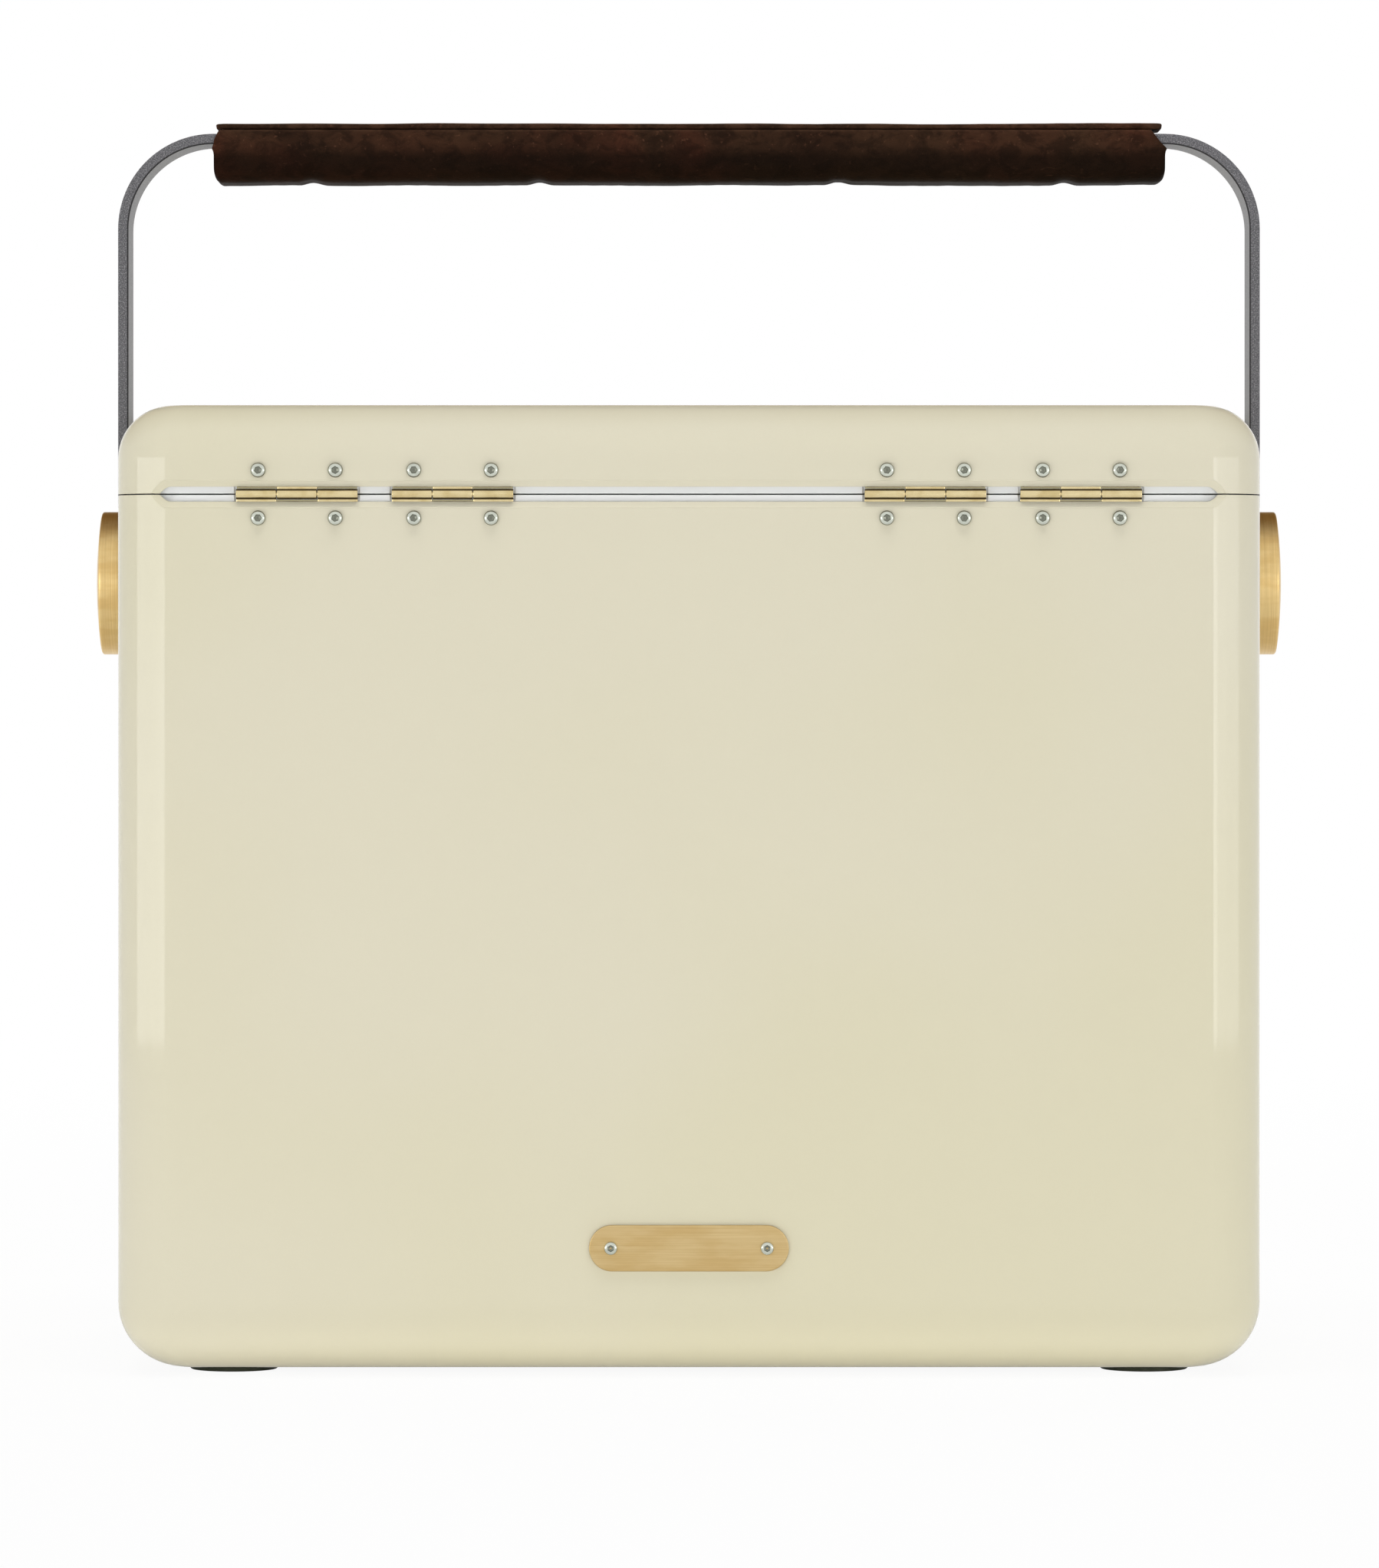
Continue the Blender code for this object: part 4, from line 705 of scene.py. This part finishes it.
def body_tub():
    """White tub: inner wall with a rounded mouth, flat rim, outer lip that flares at its top, underside."""
    rim, base = BODY_RIM + SEAM_CLOSE, LINER_FLOOR + LINER_BEND + 4 * MM
    lip, outer, flange = RIM_INSET + RIM_LIP, WALL - LINER, rim - RIM_FLANGE
    edge = rings([(WALL, base), (WALL, rim), (RIM_INSET - flare(), rim), (RIM_INSET, rim - RIM_LIP_DEPTH),
                  (lip, rim - RIM_LIP_DEPTH), (lip, flange), (outer, flange), (outer, base)],
                 (0, 1.6, 0.3, 0.3, 0, 0, 0, 0))
    inside = bowl(PLAIN, WALL, LINER_BEND, LINER_FLOOR, 1)
    outside = bowl(PLAIN, outer, LINER_BEND + LINER, LINER_FLOOR - LINER, 1, 6)
    grid = np.concatenate((inside, edge, outside[::-1]))
    piece("body_liner_tub", "white_liner", "box", "body_liner", grid)


def lid_pan():
    """White underside of the lid: a shallow plug, the seal's groove, the rim and its upturned lip."""
    face = LID_RIM - SEAM_CLOSE
    plug, back, base = face - PLUG_DEPTH, PLUG_INSET + LINER, face - PLUG_DEPTH + PLUG_BEND + 0.6 * MM
    inner, outer, groove = SEAL_INNER + SEAL_ROOM, SEAL_OUTER - SEAL_ROOM, face + SEAL_GROOVE
    lip, flange = RIM_INSET + RIM_LIP, face + LID_FLANGE
    edge = rings([(PLUG_INSET, base), (PLUG_INSET, face), (inner, face), (inner, groove), (outer, groove),
                  (outer, face), (RIM_INSET - flare(), face), (RIM_INSET, face + RIM_LIP_DEPTH),
                  (lip, face + RIM_LIP_DEPTH), (lip, flange), (back, flange), (back, base)],
                 (0, 0.5, 0.3, 0, 0, 0.3, 0.3, 0, 0, 0, 0, 0))
    inside = bowl(PLAIN, PLUG_INSET, PLUG_BEND, plug, 1, 8)[:-1]
    outside = bowl(PLAIN, back, PLUG_BEND - LINER, plug + LINER, 1, 4)[:-1]
    grid = np.concatenate((inside, edge, outside[::-1]))
    piece("lid_liner_pan", "white_liner", "lid", "lid_liner", grid)


def seal():
    """Rubber ring with a rounded nose, seated in the groove of the lid."""
    low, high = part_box("lid_seal")
    nose = LID_RIM - 0.1 * MM
    grid = rings([(SEAL_INNER, high.z), (SEAL_INNER, nose), (SEAL_INNER - SEAL_TAPER, low.z),
                  (SEAL_OUTER + SEAL_TAPER, low.z), (SEAL_OUTER, nose), (SEAL_OUTER, high.z)],
                 (0.2, 0.6, 0.6, 0.6, 0.6, 0.2), closed=True)
    piece("lid_seal_ring", "seal_rubber", "lid", "lid_seal", grid, loop=True)


shell("body_shell_skin", "body_shell", "box", BASE_Z, BASE_BEND, BODY_RIM, 1)
shell("lid_shell_skin", "lid_shell", "lid", LID_TOP, LID_BEND, LID_RIM, -1)
body_tub()
lid_pan()
seal()


# Hinges

LEAF_HEIGHT = 11 * MM
LEAF_CORNER = 1.2 * MM
NOTCH = 0.6 * MM
TONGUE = 1.2 * MM
PIN_RADIUS = 0.65 * MM
PIN_CORE = 0.1 * MM
CURL_END = math.radians(285)
KNUCKLE_GAP = 0.3 * MM
HINGE_HALF = (HINGES[1][1].x - HINGES[1][0].x) / 2


def curl_section(shrink):
    """The rolled knuckle's section in (y, z) about the pin: an outer arc of radius R from the leaf's
    outer face round to the open seam, and the bore back, both drawn in by shrink."""
    angle = np.linspace(0, CURL_END, 37)
    circle = np.column_stack((np.cos(angle), np.sin(angle)))
    foot = -(BARREL + NOTCH + 0.1 * MM)
    outer = (BARREL - shrink) * circle
    bore = (BARREL - LEAF + shrink) * circle[::-1]
    legs = np.array(((BARREL - LEAF + shrink, foot), (BARREL - shrink, foot)))
    return np.concatenate((legs, outer, bore))


def knuckle(x, half, up):
    """One knuckle along X with softly broken ends: the section shrinks by 0.12 mm over 0.15 mm."""
    stops = ((-half, 0.12), (-half + 0.05 * MM, 0.04), (-half + 0.15 * MM, 0), (-half + 0.5 * MM, 0))
    stops += tuple((-along, shrink) for along, shrink in stops[::-1])
    rows = []
    for along, shrink in stops:
        y, z = curl_section(shrink * MM).T
        rows.append(xyz(x + along, HINGE_Y + y, SPLIT_Z - up * z))
    return np.array(rows)


def stood_up(grid, x, middle, up):
    """A slab stood in the leaf's plane, its middle this far from the pin's line."""
    return xyz(x + grid[..., 0], LEAF_Y + grid[..., 2], SPLIT_Z - up * (grid[..., 1] + middle))


def leaf_plate(x, up):
    """The flat of a leaf, clear of the other leaf's knuckles, with rounded corners, as an eased slab."""
    top = -(BARREL + NOTCH)
    middle, half_high = (top - LEAF_HEIGHT) / 2, (top + LEAF_HEIGHT) / 2
    profile = mm((0.1, 0), (0, 0.1), (0, 0.7), (0.1, 0.8))
    return stood_up(slab(HINGE_HALF, half_high, LEAF_CORNER, profile, 6), x, middle, up)


def tongue(x, up):
    """The leaf's edge beside the other leaf's knuckles: a slab set back from the face and close to them."""
    half_high, profile = TONGUE / 2, ((0, TONGUE_BACK), (0, LEAF - 0.05 * MM))
    grid = slab(HINGE_HALF - 0.2 * MM, half_high, 0.05 * MM, profile, 2)
    return stood_up(grid, x, -(BARREL + 0.12 * MM) - half_high, up)


def hinge(number):
    """Both leaves with their knuckles, and the pin with domed ends."""
    x = middle_of(f"hinge_{number}_pin").x
    pitch = 2 * HINGE_HALF / 3
    outer_half = (pitch - KNUCKLE_GAP / 2) / 2
    shift = HINGE_HALF - outer_half
    outer = [knuckle(x + side * shift, outer_half, -1) for side in (-1, 1)]
    inner = [knuckle(x, (pitch - KNUCKLE_GAP) / 2, 1)]
    for body, part, up, knuckles in (("box", "body", -1, outer), ("lid", "lid", 1, inner)):
        piece(f"hinge_{number}_{part}_half", "hinge_brass", body, f"hinge_{number}_{part}_leaf",
              leaf_plate(x, up), tongue(x, up), *knuckles)
    rod = [(PIN_CORE, -HINGE_HALF), (PIN_RADIUS, -HINGE_HALF), (PIN_RADIUS, HINGE_HALF),
           (PIN_CORE, HINGE_HALF)]
    rod = turned(eased(rod, mm(0, 0.3, 0.3, 0)), 24)
    piece(f"hinge_{number}_pin_rod", "hinge_brass", "box", f"hinge_{number}_pin",
          posed(rod, "+X", (x, HINGE_Y, SPLIT_Z)))


for number in HINGES:
    hinge(number)


# Screws

HEAD_RADIUS, HEAD_HEIGHT = 2.35 * MM, 1.4 * MM
HEAD_FLAT = 1.45 * MM
HEAD_SIDE = 0.35 * MM
HEAD_SEAT = 0.3 * MM
SHANK, SHANK_LENGTH = 1.25 * MM, 2.5 * MM
SOCKET = 1.15 * MM
SOCKET_DEPTH = 0.8 * MM
SOCKET_RINGS = ((1.10, 0), (1.0, 0.10 * MM), (0.90, SOCKET_DEPTH), (0.36, SOCKET_DEPTH + 0.1 * MM),
                (0.26, SOCKET_DEPTH + 0.6 * MM))
PLATE_HEAD = 2.05 * MM, 0.95 * MM


def socket_screw(name, at, body, node, turn, radius=HEAD_RADIUS, height=HEAD_HEIGHT):
    """Button head with a hexagon socket: a turned dome whose last rings follow a hexagon down, the
    distance to its edge being r cos 30 / cos(angle from the middle of a flat)."""
    steps, scale = 48, radius / HEAD_RADIUS
    flat = HEAD_FLAT * scale
    swing = np.linspace(0, math.pi / 2, 9)
    dome = np.column_stack((flat + (radius - flat) * np.cos(swing),
                            HEAD_SEAT + HEAD_SIDE + (height - HEAD_SIDE) * np.sin(swing)))
    foot = ((SHANK, -SHANK_LENGTH), (SHANK, HEAD_SEAT), (radius - 0.15 * MM, HEAD_SEAT),
            (radius, HEAD_SEAT + 0.12 * MM))
    head = turned(np.concatenate((foot, dome)), steps)
    rows = [(SOCKET * scale * share, HEAD_SEAT + height - drop) for share, drop in SOCKET_RINGS]
    socket = turned(rows, steps)
    u = np.linspace(0, 2 * math.pi, steps, endpoint=False)
    from_flat = (u + math.pi / 6) % (math.pi / 3) - math.pi / 6
    socket[..., :2] *= (math.cos(math.pi / 6) / np.cos(from_flat))[:, None]
    spin = np.array(((math.cos(turn), -math.sin(turn), 0), (math.sin(turn), math.cos(turn), 0), (0, 0, 1)))
    piece(name, "screw_steel", body, node, posed(np.concatenate((head, socket)) @ spin.T, "-Y", at))


for number in HINGES:
    for part, body in (("body", "box"), ("lid", "lid")):
        for side in ("left", "right"):
            node = f"hinge_{number}_{part}_screw_{side}"
            middle = middle_of(node)
            angle = number * 1.9 + (side == "left") * 0.7 + (part == "lid") * 1.3
            socket_screw(f"{node}_head", (middle.x, -HALF_Y, middle.z), body, node, angle)


# Name plate, bare

def plate():
    """Brass plate with round ends: a stadium outline drawn in along an eased edge."""
    low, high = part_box("name_plate")
    half_long, half_high = (high.x - low.x) / 2, (high.z - low.z) / 2
    thick, inset = high.y - low.y, 1.2 * MM
    profile = eased([(inset, 0), (0, 0), (0, thick), (inset, thick)], mm(0, 0.05, 0.28, 0))
    grid = slab(half_long, half_high, half_high * 0.999, profile, 24)
    grid = xyz(grid[..., 0], high.y - grid[..., 2], grid[..., 1] + PLATE_Z)
    piece("name_plate_face", "brushed_brass", "box", "name_plate", grid)


plate()
for side, sign in SIDES:
    at = (middle_of(f"plate_screw_{side}").x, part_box("name_plate")[0].y, PLATE_Z)
    turn = sign * 0.5 + math.pi / 6
    socket_screw(f"plate_screw_{side}_head", at, "box", f"plate_screw_{side}", turn, *PLATE_HEAD)


# Handle

BAR_EDGE = 0.45 * MM
CAP_SEAT = 1.1 * MM
CAP_SEAT_REACH = 24.2 * MM


def bar_section(half_width):
    """The flat bar's section as (depth, y), its corners rounded."""
    corners = [(0, -half_width), (0, half_width), (BAR, half_width), (BAR, -half_width)]
    return eased(corners, [BAR_EDGE] * 4, 3, closed=True)


def bail():
    """The bar carried along a U: up the arms, round quarter bends and over the top.

    Each station is a point of the outer face with its outward normal (cos a, sin a). Below the pivot
    the half width is R sin b at a height of -R cos b, which rounds the arm's end. Up to CAP_SEAT_REACH
    above the pivot the outer face is set back by CAP_SEAT, which lets the cap in.
    """
    outer_x, top = BAIL_HIGH.x, BAIL_HIGH.z - PIVOT_Z
    shoulder = top - BAR_BEND
    places = []
    for angle in np.linspace(math.radians(14), math.pi / 2, 14):
        places.append((outer_x, -ARM_HALF * math.cos(angle), 0, ARM_HALF * math.sin(angle)))
    places += [(outer_x, z, 0, ARM_HALF) for z in (4 * MM, CAP_SEAT_REACH, CAP_SEAT_REACH + 0.3 * MM,
                                                   *np.linspace(40 * MM, shoulder - 1 * MM, 4))]
    for angle in np.linspace(0, math.pi / 2, 33):
        x, z = outer_x - BAR_BEND * (1 - math.cos(angle)), shoulder + BAR_BEND * math.sin(angle)
        places.append((x, z, angle, ARM_HALF))
    places += [(x, top, math.pi / 2, ARM_HALF) for x in (outer_x - BAR_BEND - 1 * MM, 80 * MM)]
    right = []
    for x, z, angle, half in places:
        section = bar_section(half)
        if z <= CAP_SEAT_REACH:
            section = section * (1 - CAP_SEAT / BAR, 1) + (CAP_SEAT, 0)
        depth, y = section.T
        right.append(xyz(x - depth * math.cos(angle), y, PIVOT_Z + z - depth * math.sin(angle)))
    right = np.array(right)
    piece("bail_bar", "grey_bar", "handle", "bail", np.concatenate((right, right[::-1] * (-1, 1, 1))))


LEATHER = 1.8 * MM
GRIP_LOW_RADIUS = 7.0 * MM
GRIP_TOP_RADIUS = 2.0 * MM
DIMPLES = mm(-123, -49, 49, 123)
DIMPLE_DEPTH = 0.85 * MM
DIMPLE_HALF = 4.8 * MM
UNDERSIDE_LIFT = 0.7 * MM
GRIP_HALF, GRIP_Y = GRIP_HIGH.x, GRIP_HIGH.y
END_EASE = 9 * MM
END_UNDER = 5.6 * MM
WAVE_SEED = 7
WAVES = ((60, 0.10), (31, 0.09), (17, 0.05), (9, 0.03), (5, 0.02))    # length and height, mm


def grip_section(half_y, low, high, low_radius, high_radius):
    """Section of the grip in (y, z): rounder below, flatter on top, with points along its flats."""
    wide, narrow = half_y - high_radius, half_y - low_radius
    top, base = high - high_radius, low + low_radius
    return rounded(((wide, top, high_radius), (-wide, top, high_radius), (-narrow, base, low_radius),
                    (narrow, base, low_radius)), 10, 6)


def soft_wave(x, y, z):
    """Slow unevenness of hand-worked leather: a sum of sines with seeded directions and phases."""
    random = np.random.default_rng(WAVE_SEED)
    total = np.zeros_like(x)
    for size, amplitude in mm(*WAVES):
        for _ in range(3):
            direction = random.normal(size=3) * (1.0, 0.8, 0.8)
            direction /= np.linalg.norm(direction)
            phase = random.uniform(0, 2 * math.pi)
            turn = 2 * math.pi / size * (direction[0] * x + direction[1] * y + direction[2] * z)
            total += amplitude * np.sin(turn + phase)
    return total


def end_reach(z, side):
    """How far the sleeve's end steps back at height z.

    The top falls away, more on the right where the leather is cut on a slant; the underside rounds
    off as a quarter ellipse; just under the bar a tucked edge stands out a little.
    """
    top, low = GRIP_HIGH.z, GRIP_LOW.z
    slant, fall, past = mm(4.6, 6.0, 0.5) if side > 0 else mm(1.6, 3.6, 0.2)
    high = np.clip((z - (top - fall)) / fall, 0, 1)
    under = np.clip((low + END_UNDER - z) / END_UNDER, 0, 1)
    tuck = np.exp(-((z - (BAIL_HIGH.z - BAR - 1.4 * MM)) / (0.9 * MM)) ** 2)
    return slant * high + END_UNDER / 2 * (1 - np.sqrt(1 - under ** 2)) - 0.6 * MM * tuck - past


def sleeve():
    """Leather sleeve: the section carried along X, with dimples, soft waves and worn, rolled ends."""
    plain = GRIP_HALF - END_EASE
    roll = np.linspace(0, math.pi / 2, 7)
    ends = [(GRIP_HALF - END_EASE * share, 0) for share in (0.8, 0.6, 0.4, 0.3)]
    ends += [(GRIP_HALF - 1.4 * MM * (1 - math.sin(a)), 1.2 * MM * (1 - math.cos(a))) for a in roll]
    flat = [(x, 0) for x in np.linspace(-plain, plain, 300)]
    stops = [(-x, shrink) for x, shrink in ends[::-1]] + flat + ends
    top, low = GRIP_HIGH.z, GRIP_LOW.z
    outer = []
    for x, shrink in stops:
        away = np.clip(np.abs(x - DIMPLES) / DIMPLE_HALF, 0, 1)
        lift = UNDERSIDE_LIFT + DIMPLE_DEPTH * (0.5 + 0.5 * np.cos(math.pi * away)).sum()
        section = grip_section(GRIP_Y - shrink, low + lift + shrink, top - shrink * 0.4,
                               GRIP_LOW_RADIUS, GRIP_TOP_RADIUS)
        outer.append(xyz(x, *section.T))
    outer = np.array(outer)
    hole = grip_section(ARM_HALF + 0.3 * MM, low + LEATHER, top - 1 * MM, GRIP_LOW_RADIUS - LEATHER, 0.8 * MM)
    cavity = np.array([xyz(x, *hole.T) for x in (GRIP_HALF, plain, -plain, -GRIP_HALF)])
    middle = (top + low) / 2
    wave = soft_wave(outer[..., 0], outer[..., 1], outer[..., 2])
    side = outer[..., 1:] - (0, middle)
    length = np.linalg.norm(side, axis=-1, keepdims=True)
    below_strip = np.clip((top - outer[..., 2]) / (2 * MM), 0, 1)[..., None]
    outer[..., 1:] += side / length * (wave[..., None] - 0.12 * MM) * below_strip
    grid = np.concatenate((outer, cavity))
    x = grid[..., 0]
    share = np.clip((np.abs(x) - plain) / END_EASE, 0, 1)
    back = np.where(x > 0, end_reach(grid[..., 2], 1), end_reach(grid[..., 2], -1))
    grid[..., 0] = x - np.sign(x) * share ** 1.6 * back
    piece("grip_leather", "brown_leather", "handle", "grip_sleeve", grid, loop=True, sharp=55)


# The strip's edge: how far it is drawn in and how high it stands, as shares of its thickness
STRIP_EDGE = ((0.9, 0.0), (0.25, 0.0), (0.12, 0.10), (0.05, 0.35), (0.0, 0.70), (0.06, 0.88), (0.20, 0.97),
              (0.45, 1.0), (2.5, 1.0))


def strip():
    """Leather strip over the grip: a rounded slab whose ends roll over and tuck under."""
    low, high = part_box("grip_strip")
    thick = high.z - low.z
    profile = [(inset * thick, share) for inset, share in STRIP_EDGE]
    x, y, share = np.moveaxis(slab(high.x, high.y, 3 * MM, profile, 8, 60), -1, 0)
    wave = soft_wave(x, y, np.full(x.shape, high.z)) * 0.5
    grid = xyz(x, y, low.z + share * thick + wave * share)
    piece("grip_strip_leather", "brown_leather", "handle", "grip_strip", grid, sharp=60)


bail()
sleeve()
strip()


# Pivots, feet and latch

CAP_CROWN = 1.6 * MM
BOLT_ROOM = 3.3 * MM


def pivots():
    """On each side: a domed brass cap with a rolled edge, and the bush's flange behind the arm."""
    for side, sign in SIDES:
        low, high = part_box(f"pivot_cap_{side}")
        near = min(abs(low.x), abs(high.x)) - HALF_X - CAP_SEAT
        far = max(abs(low.x), abs(high.x)) - HALF_X
        radius, rim = (high.z - low.z) / 2, far - CAP_CROWN
        crown = [(radius * s, rim + CAP_CROWN * (1 - s ** 2)) for s in np.linspace(0.16, 1, 9)[-2::-1]]
        corners = [(BOLT_ROOM, near), (radius, near), (radius, rim), *crown]
        profile = eased(corners, mm(0, 0.12, 1.9, *[0] * len(crown)), 8)
        place = "-X" if sign < 0 else "+X", (sign * HALF_X, 0, PIVOT_Z)
        piece(f"pivot_cap_{side}_turned", "brushed_brass", "box", f"pivot_cap_{side}",
              posed(turned(profile, 96), *place), sharp=60)
        profile = eased(mm((3.3, 0.3), (11, 0.3), (11, 2.4), (5.1, 2.4), (5.1, 6.1), (3.3, 6.1)),
                        mm(0.1, 0.3, 0.3, 0, 0.1, 0.1), closed=True)
        piece(f"pivot_bush_{side}_turned", "bush_nylon", "box", f"pivot_bush_{side}",
              posed(turned(profile, 64), *place), loop=True)


def foot(node):
    """A round rubber foot: a soft tread edge and a shallow dish underneath."""
    low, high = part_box(node)
    radius, top = (high.x - low.x) / 2, BASE_Z - 0.3 * MM
    dish, tread, neck = mm(0.5, 0.8, 4)
    corners = [(neck / 2, dish), (radius - 5 * MM, dish), (radius - 4.2 * MM, 0), (radius - tread, 0),
               (radius, tread), (radius, top), (neck, top), (neck, high.z)]
    profile = eased(corners, mm(0, 0.3, 0.3, 0.3, 0.3, 0.1, 0, 0))
    grid = posed(turned(profile), "+Z", (*middle_of(node).xy, 0))
    piece(f"{node}_rubber", "foot_rubber", "box", node, grid)


KNOB_FACE = 3.8    # mm in front of the box


def latch():
    """Turn latch on the front: escutcheon, domed knob with a thumb bar, and the keeper's rivet."""
    place = "+Y", (0, HALF_Y, LATCH_Z)
    profile = eased(mm((3.3, -1.2), (4.6, -1.2), (4.6, 0.3), (13.8, 0.3), (13.8, 1.3), (3.3, 1.3)),
                    mm(0, 0, 0, 0.1, 0.3, 0.1), closed=True)
    piece("latch_escutcheon", "brushed_brass", "box", "latch_bush", posed(turned(profile), *place), loop=True)
    corners = mm((3, -1.2), (3, 1.6), (11.8, 1.6), (11.8, KNOB_FACE), (2, KNOB_FACE))
    disc = posed(turned(eased(corners, mm(0, 0, 0.2, 0.5, 0), 6)), *place)
    profile = eased(mm((0, -0.6), (0, 2.1), (1.6, 2.1)), mm(0, 0.7, 0), 6)
    bar = posed(slab(*mm(9.5, 2.5, 2.45), profile, 14, 6) + mm(0, 0, KNOB_FACE), *place)
    piece("latch_knob_turned", "brushed_brass", "latch", "latch_knob", disc, bar)
    swing = np.linspace(0, math.pi / 2 - 0.1, 9)
    dome = np.column_stack((2.6 * np.cos(swing), 0.3 + 1.0 * np.sin(swing)))
    rivet = posed(turned(mm((1.6, -2.3), (1.6, 0.3), *dome), 40), "+Y", (0, HALF_Y, KEEPER_Z))
    piece("latch_keeper_rivet", "brushed_brass", "lid", "latch_keeper", rivet)


pivots()
for node in ("foot_rear_left", "foot_rear_right", "foot_front_left", "foot_front_right"):
    foot(node)
latch()

CARRIED = {
    "foam": ("body_insulation", "lid_insulation"),
    "core_plastic": ("grip_core",),
    "plain_steel": ("pivot_bolt_left", "pivot_bolt_right", "pivot_plate_left", "pivot_plate_right",
                    "latch_hook", "latch_screw"),
}
for look, nodes in CARRIED.items():
    for node in nodes:
        slots = frame["nodes"][node].data.materials
        slots.clear()
        slots.append(LOOKS[look])


# Stage, light and camera

def floor():
    """A pale floor. Seen directly or in a reflection it is mostly white, and all white far away."""
    corners = [(x * FLOOR_REACH, y * FLOOR_REACH, 0) for x, y in ((-1, -1), (1, -1), (1, 1), (-1, 1))]
    mesh = bpy.data.meshes.new("floor")
    mesh.from_pydata(corners, [], [(0, 1, 2, 3)])
    f = Finish("floor_paper", (0.9, 0.9, 0.9), 0.9)
    away = (f.x ** 2 + f.y ** 2) ** 0.5
    camera, glossy, through = f.rays()
    share = camera * (away.between(0.5, 2.5) * (1 - FLOOR_WHITE) + FLOOR_WHITE)
    mirrored = away.between(0.15, 0.7) * (1 - FLOOR_GLOSSY) + FLOOR_GLOSSY
    share = share.math("MAXIMUM", glossy.math("MAXIMUM", through) * mirrored)
    glow = f.add("Emission", None, {"Strength": 1.0})
    both = f.add("MixShader", None, {0: share, 1: Wire(f, f.shader.outputs[0]), 2: glow})
    f.tree.links.new(both.socket, f.tree.nodes["Material Output"].inputs[0])
    mesh.materials.append(f.material)
    placed("floor", mesh)


def world():
    """Even light all round. Directly and through glass it is white; in a reflection it is white too,
    but dims towards the high wall behind the box, as the cosine of the angle to DIM_WAY grows."""
    made = bpy.data.worlds.new("studio")
    bpy.context.scene.world = made
    made.use_nodes = True
    w = Nodes(made.node_tree)
    way = w.add("TexCoord", output="Generated")
    near = w.add("VectorMath", {"operation": "DOT_PRODUCT"}, {0: way, 1: DIM_WAY}, "Value")
    dim = near.between(0.2, 1.0) * w.parts(way)[2].between(0.08, 0.42)
    level, rays = WORLD_LEVEL, w.rays()
    for ray in rays:
        level = ray * (1 - level) + level
    background = w.tree.nodes["Background"]
    w.tree.links.new(level.socket, background.inputs["Strength"])
    w.tree.links.new(w.mix(dim * rays[1], (1, 1, 1), DIM_COLOUR).socket, background.inputs["Color"])


def softbox(name, at, aim, width, height, level, glossy=False):
    """A rectangular area light at a point, turned to face another. Its level is its brightness
    against white: power = level x pi x area. The camera doesn't see it."""
    data = bpy.data.lights.new(name, "AREA")
    data.shape = "RECTANGLE"
    data.size, data.size_y = width, height
    data.energy = level * math.pi * width * height
    made = placed(name, data)
    made.rotation_euler = (Vector(aim) - Vector(at)).to_track_quat("-Z", "Y").to_euler()
    made.location = at
    made.visible_camera, made.visible_glossy = False, glossy


FLOOR_REACH = 9.0
FLOOR_WHITE = 0.93
FLOOR_GLOSSY = 0.3
WORLD_LEVEL = 0.14
DIM_WAY = (0, 0.73, 0.68)
DIM_COLOUR = (0.20, 0.12, 0.04)
PANEL_DISTANCE = 2.3
PANEL_HIGH = 0.5


def panel(name, side, inner, outer, level):
    """A soft box that stands on the floor and spans two angles off the line to the camera, in degrees,
    as seen from the box's rear corner on its own side."""
    middle, half = math.radians((inner + outer) / 2), math.radians((outer - inner) / 2)
    x, y, z = side * (FLAT_X + EDGE / 2), -(FLAT_Y + EDGE / 2), PANEL_HIGH / 2
    at = (x + side * PANEL_DISTANCE * math.sin(middle), y - PANEL_DISTANCE * math.cos(middle), z)
    softbox(name, at, (x, y, z), 2 * PANEL_DISTANCE * math.tan(half), PANEL_HIGH, level, glossy=True)


floor()
world()
PANELS = (
    ("panel", (16.7, 30, 2.0), (17, 26, 2.5)),
    ("middle", (30, 50, 1.8), (26, 40, 1.35)),
    ("fill", (50, 80, 1.75), (40, 75, 1.25)),
)
for part, *spans in PANELS:
    for (side, sign), span in zip(SIDES, spans):
        panel(f"{side}_{part}", sign, *span)
for side, sign in SIDES:
    softbox(f"{side}_box", (sign * 2.4, 0.3, 0.5), (0, 0, 0.2), 1.6, 1.2, 1.3)
softbox("top_box", (0, 1.3, 2.0), (0, 0, 0.18), 2.2, 1.4, 1.5)
softbox("back_box", (0, 2.3, 0.8), (0, 0, 0.2), 2.6, 1.6, 1.7)
softbox("front_box", (0, -0.6, 2.2), (0, -0.5, 0), 2.0, 0.9, 4.6)
softbox("eye_box", (0, -2.2, 0.28), (0, 0, 0.28), 2.0, 0.56, 2.72)
softbox("floor_box", (0, -0.65, 0.0005), (0, -0.65, 1), 1.8, 1.104, 0.21)

# Camera: the photograph's frame is 1798 by 2044, with the eye level at row 857.5 and column 898.3
FRAME_WIDE, FRAME_HIGH = 1798, 2044
EYE_COLUMN, EYE_ROW = 898.3, 857.5
RADIANS_PER_PIXEL = 9.02e-5
EYE_DISTANCE = 2.784
EYE_HEIGHT = SPLIT_Z - 51.3 * MM
camera_data = bpy.data.cameras.new("camera")
camera = placed("camera", camera_data)
camera.location = (0, -EYE_DISTANCE, EYE_HEIGHT)
camera.rotation_euler = (math.pi / 2, 0, 0)
camera_data.lens = camera_data.sensor_width / (FRAME_HIGH * RADIANS_PER_PIXEL)
camera_data.shift_x = (FRAME_WIDE / 2 - EYE_COLUMN) / FRAME_HIGH
camera_data.shift_y = (EYE_ROW - FRAME_HIGH / 2) / FRAME_HIGH
camera_data.clip_start, camera_data.clip_end = 0.05, 50
bpy.context.scene.camera = camera
bpy.context.scene.view_settings.view_transform = "Standard"
